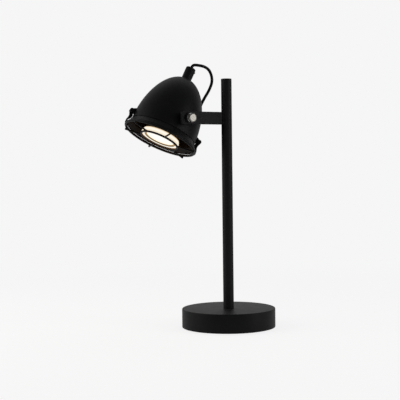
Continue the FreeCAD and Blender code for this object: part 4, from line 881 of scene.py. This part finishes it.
# %% Clamp screws
KNOB_RADIUS, KNOB_TOP, KNOB_HOLLOW = 3.5, 3.4, 2.6
KNURL_GROOVE, KNURL_COUNT, KNURL_DEPTH = 0.4, 12, 0.6
SHANK_RADIUS, SHANK_LENGTH = 2.0, 7.3
LUG_ANGLE = math.radians(67)
PIN_RADIUS, PIN_LEVEL, KNOB_SEAT = 59.7, -13.6, 3.3


def knurled(angle, radius, height):
    """Radius with round grooves cut into the rim of the head."""
    if height < 0 or radius < KNOB_RADIUS - KNURL_DEPTH:
        return radius
    share = 2 * math.pi / KNURL_COUNT
    away = abs((angle + share / 2) % share - share / 2) * KNOB_RADIUS
    if away >= KNURL_GROOVE:
        return radius
    return min(radius, KNOB_RADIUS - math.sqrt(KNURL_GROOVE ** 2 - away ** 2))


screw_outline = [
    (0, -SHANK_LENGTH, 0), (SHANK_RADIUS, -SHANK_LENGTH, 0.4), (SHANK_RADIUS, 0, 0), (KNOB_RADIUS, 0, 0.3),
    (KNOB_RADIUS, KNOB_TOP, 0.5), (1.9, KNOB_TOP, 0.25), (1.5, KNOB_HOLLOW, 0.3), (0, KNOB_HOLLOW, 0),
]
for label, turn, sign in (("right", 0.0, -1), ("left", math.pi, 1)):
    seat = (HEAD @ Matrix.Rotation(LUG_ANGLE + turn, 4, "Z")
            @ Matrix.Translation((PIN_RADIUS * MM, KNOB_SEAT * sign * MM, PIN_LEVEL * MM))
            @ Matrix.Rotation(math.radians(-90 * sign), 4, "X"))
    show_turned(f"clamp_screw_{label}", screw_outline, "black_paint", f"{label}_knob", [f"knob_{label}"], seat,
                steps=180, arc=5, shaped=knurled)

# %% [markdown]
# The tilt bolt is a bright hexagon bolt.  A hexagon is a turned outline as well, once the radius follows the flats,
# and the chamfer that its maker turns on the face is simply the smaller of two radii.

# %% Tilt bolt
BOLT_ACROSS, BOLT_TOP, BOLT_FACE = 13.0, 5.3, 5.4
BOLT_SHANK, SHANK_CHAMFER = 4.0, 0.4
PAST_CORNERS = 8.0  # wider than the hexagon; the function below brings it in
HEAD_ROWS = 24
CHAMFER_SLOPE, BOLT_TURN = math.radians(30), math.radians(15)


def hexagonal(angle, radius, height):
    """Radius of the bolt's head: six flats, cut by the chamfer near its top."""
    if radius < BOLT_FACE:
        return radius
    share = math.pi / 3
    flat = BOLT_ACROSS / 2 / math.cos((angle + share / 2) % share - share / 2)
    chamfer = BOLT_FACE + (BOLT_TOP - height) / math.tan(CHAMFER_SLOPE)
    return min(flat, chamfer)


bolt_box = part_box("tilt_bolt")
bolt_low, bolt_high = bolt_box[0][0] / MM, bolt_box[1][0] / MM
bolt_seat = bolt_high - BOLT_TOP
shank_end = bolt_low - bolt_seat
head_rows = [(PAST_CORNERS, BOLT_TOP * step / HEAD_ROWS) for step in range(HEAD_ROWS + 1)]
bolt_outline = [
    (0, shank_end), (BOLT_SHANK - SHANK_CHAMFER, shank_end), (BOLT_SHANK, shank_end + SHANK_CHAMFER),
    (BOLT_SHANK, 0.0), (BOLT_FACE, 0.0), *head_rows, (0, BOLT_TOP),
]
bolt_place = (Matrix.Translation((bolt_seat * MM, -ARM_REACH * MM, TILT_AXIS_HEIGHT * MM))
              @ Matrix.Rotation(math.radians(90), 4, "Y") @ Matrix.Rotation(BOLT_TURN, 4, "Z"))
show("hexagon_bolt", turned_mesh("hexagon_bolt", bolt_outline, 192, hexagonal), "nickel", "head", ["tilt_bolt"],
     bolt_place, sharp=25)

# %% [markdown]
# The neck stands on the bell's apex and holds the cord's gland.  The lamp itself has a raised rim round a sunk,
# slightly domed lens, and a side that tapers back to the silvered bowl.

# %% Neck and gland
NECK_RADIUS, NECK_BORE, NECK_TOP, NECK_FLOOR = 8.2, 7.0, 94.0, 76.8
GLAND_HOLE, GLAND_BODY, GLAND_FLANGE, GLAND_FOOT = 2.45, 6.95, 7.6, 85.0


def on_bell(radius):
    """Corner of an outline that lies on the bell's surface at a distance from the head's axis."""
    share = radius / BELL_RADIUS
    return radius, LIP_LEVEL + BELL_HEIGHT * math.sqrt(1 - share * share), 0


neck_outline = [
    on_bell(ROD_HOLE), (ROD_HOLE, NECK_FLOOR, 0.1), (NECK_BORE, NECK_FLOOR, 0.2), (NECK_BORE, NECK_TOP, 0.1),
    (NECK_RADIUS, NECK_TOP, 0.35), on_bell(NECK_RADIUS), on_bell(6.6),
]
show_turned("neck_sleeve", neck_outline, "black_paint", "head", ["neck_tube"], HEAD)
gland_outline = [
    (GLAND_HOLE, GLAND_FOOT, 0.2), (GLAND_BODY, GLAND_FOOT, 0.2), (GLAND_BODY, NECK_TOP, 0),
    (GLAND_FLANGE, NECK_TOP, 0), (GLAND_FLANGE, GLAND_FACE, 0.3), (GLAND_HOLE, GLAND_FACE, 0.2),
]
show_turned("cord_gland", gland_outline, "black_plastic", "head", ["neck_gland"], HEAD)

# %% Lamp
LENS_RADIUS, LENS_EDGE, LENS_RISE = 25.0, LAMP_FRONT + 1.7, 1.0
LEDGE_RADIUS, FACE_RADIUS, REAR_RADIUS = 25.5, 32.5, 30.0
LAMP_SIDE, FACE_GLASS = LAMP_FRONT + 7.0, 1.2


def lens_rows(lift, count=14):
    """Rows from the lens's edge to its middle, on a shallow dome."""
    sphere = (LENS_RADIUS ** 2 + LENS_RISE ** 2) / (2 * LENS_RISE)
    rows = []
    for step in range(count + 1):
        radius = LENS_RADIUS * (1 - step / count)
        drop = math.sqrt(sphere ** 2 - radius ** 2) - (sphere - LENS_RISE)
        rows.append((radius, LENS_EDGE - drop + lift, 0))
    return rows


lamp_outline = lens_rows(0.0)[::-1] + [
    (LEDGE_RADIUS, LAMP_FRONT, 0.3), (FACE_RADIUS, LAMP_FRONT, 1.2), (REAR_RADIUS, LAMP_SIDE, 0),
    (REAR_RADIUS - FACE_GLASS, LAMP_SIDE, 0), (FACE_RADIUS - FACE_GLASS, LAMP_FRONT + FACE_GLASS, 0.2),
    (LEDGE_RADIUS + FACE_GLASS, LAMP_FRONT + FACE_GLASS, 0.2),
] + lens_rows(FACE_GLASS)
show_turned("lamp_front", lamp_outline, "lit_glass", "head", ["lamp_face"], HEAD, steps=160, arc=6)

# %% [markdown]
# The bar is welded to the post on both sides.  A weld laid by hand is a row of overlapping ripples, so Geometry
# Nodes sets a flattened bead at each point of a short line, each a little different, from a fixed seed.

# %% Weld beads
WELD_BEADS, WELD_LENGTH, WELD_RADIUS, WELD_INSET = 14, 17.6, 1.25, 1.3
WELD_SEED = 7
WELD_FLATNESS = 0.85


def weld_tree():
    """Node tree that grows a row of weld beads along Z."""
    tree = bpy.data.node_groups.new("weld_bead", "GeometryNodeTree")
    add_socket(tree, "Count", "INPUT", "NodeSocketInt", WELD_BEADS)
    add_socket(tree, "Length", "INPUT", "NodeSocketFloat", 0.02)
    add_socket(tree, "Bead radius", "INPUT", "NodeSocketFloat", 0.0013)
    add_socket(tree, "Unevenness", "INPUT", "NodeSocketFloat", 0.08)
    add_socket(tree, "Seed", "INPUT", "NodeSocketInt", WELD_SEED)
    add_socket(tree, "Finish", "INPUT", "NodeSocketMaterial")
    add_socket(tree, "Weld", "OUTPUT", "NodeSocketGeometry")
    given = add_node(tree, "NodeGroupInput", (-900, 0)).outputs
    low = vector_of(tree, (-700, 200), Z=math_node(tree, "MULTIPLY", given["Length"], -0.5))
    high = vector_of(tree, (-700, 50), Z=math_node(tree, "MULTIPLY", given["Length"], 0.5))
    line = linked(tree, "GeometryNodeMeshLine", (-500, 100),
                  {"Count": given["Count"], "Start Location": low, "Offset": high}, mode="END_POINTS")
    bead = linked(tree, "GeometryNodeMeshUVSphere", (-500, -150),
                  {"Segments": 18, "Rings": 10, "Radius": given["Bead radius"]})
    vary = linked(tree, "FunctionNodeRandomValue", (-500, -350), {"Seed": given["Seed"]}, data_type="FLOAT")
    least, greatest, drawn = vary.inputs[2], vary.inputs[3], vary.outputs[1]
    tree.links.new(math_node(tree, "SUBTRACT", 1.0, given["Unevenness"]), least)
    greatest.default_value = 1.0
    copies = linked(tree, "GeometryNodeInstanceOnPoints", (-200, 0), {
        "Points": line.outputs[0], "Instance": bead.outputs["Mesh"],
        "Scale": vector_of(tree, (-300, -350), X=drawn, Y=drawn, Z=WELD_FLATNESS)})
    close_tree(tree, copies.outputs[0], given["Finish"], 0)
    return tree


WELD = weld_tree()
weld_low, weld_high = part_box("arm_welds")
shape = bmesh.new()
for number, side in enumerate((weld_low[0] + WELD_INSET * MM, weld_high[0] - WELD_INSET * MM)):
    bead = grown_mesh(f"weld_bead_{number}", WELD, Count=WELD_BEADS, Length=WELD_LENGTH * MM,
                      Bead_radius=WELD_RADIUS * MM, Seed=WELD_SEED + number, Finish=POWDER_COAT)
    bead.transform(Matrix.Translation((side, (weld_low[1] + weld_high[1]) / 2, TILT_AXIS_HEIGHT * MM)))
    shape.from_mesh(bead)
weld_mesh = bpy.data.meshes.new("arm_weld_beads")
shape.to_mesh(weld_mesh)
shape.free()
show("arm_weld_beads", weld_mesh, "black_paint", "stand", ["arm_welds"], sharp=60)

# %% Foot pad
PAD_RADIUS, PAD_THICKNESS = 69.0, 2.0
pad_outline = [(0, 0.0, 0), (PAD_RADIUS, 0.0, 0.6), (PAD_RADIUS, PAD_THICKNESS, 0.3), (0, PAD_THICKNESS, 0)]
show_turned("felt_pad", pad_outline, "felt", "stand", ["foot_pad"], steps=128)

# %% [markdown]
# Everything else keeps its CAD shape and gets its finish through its material slots.

# %% Finishes on the CAD nodes
slot_of = {part["node"]: part["material_slot"] for part in frame["record"]["subparts"]}
for name, node in frame["nodes"].items():
    finish = FINISHES[slot_of[name]]
    if not node.material_slots:
        node.data.materials.append(finish)
    for place in node.material_slots:
        place.material = finish
print("finishes set on", len(frame["nodes"]), "nodes")
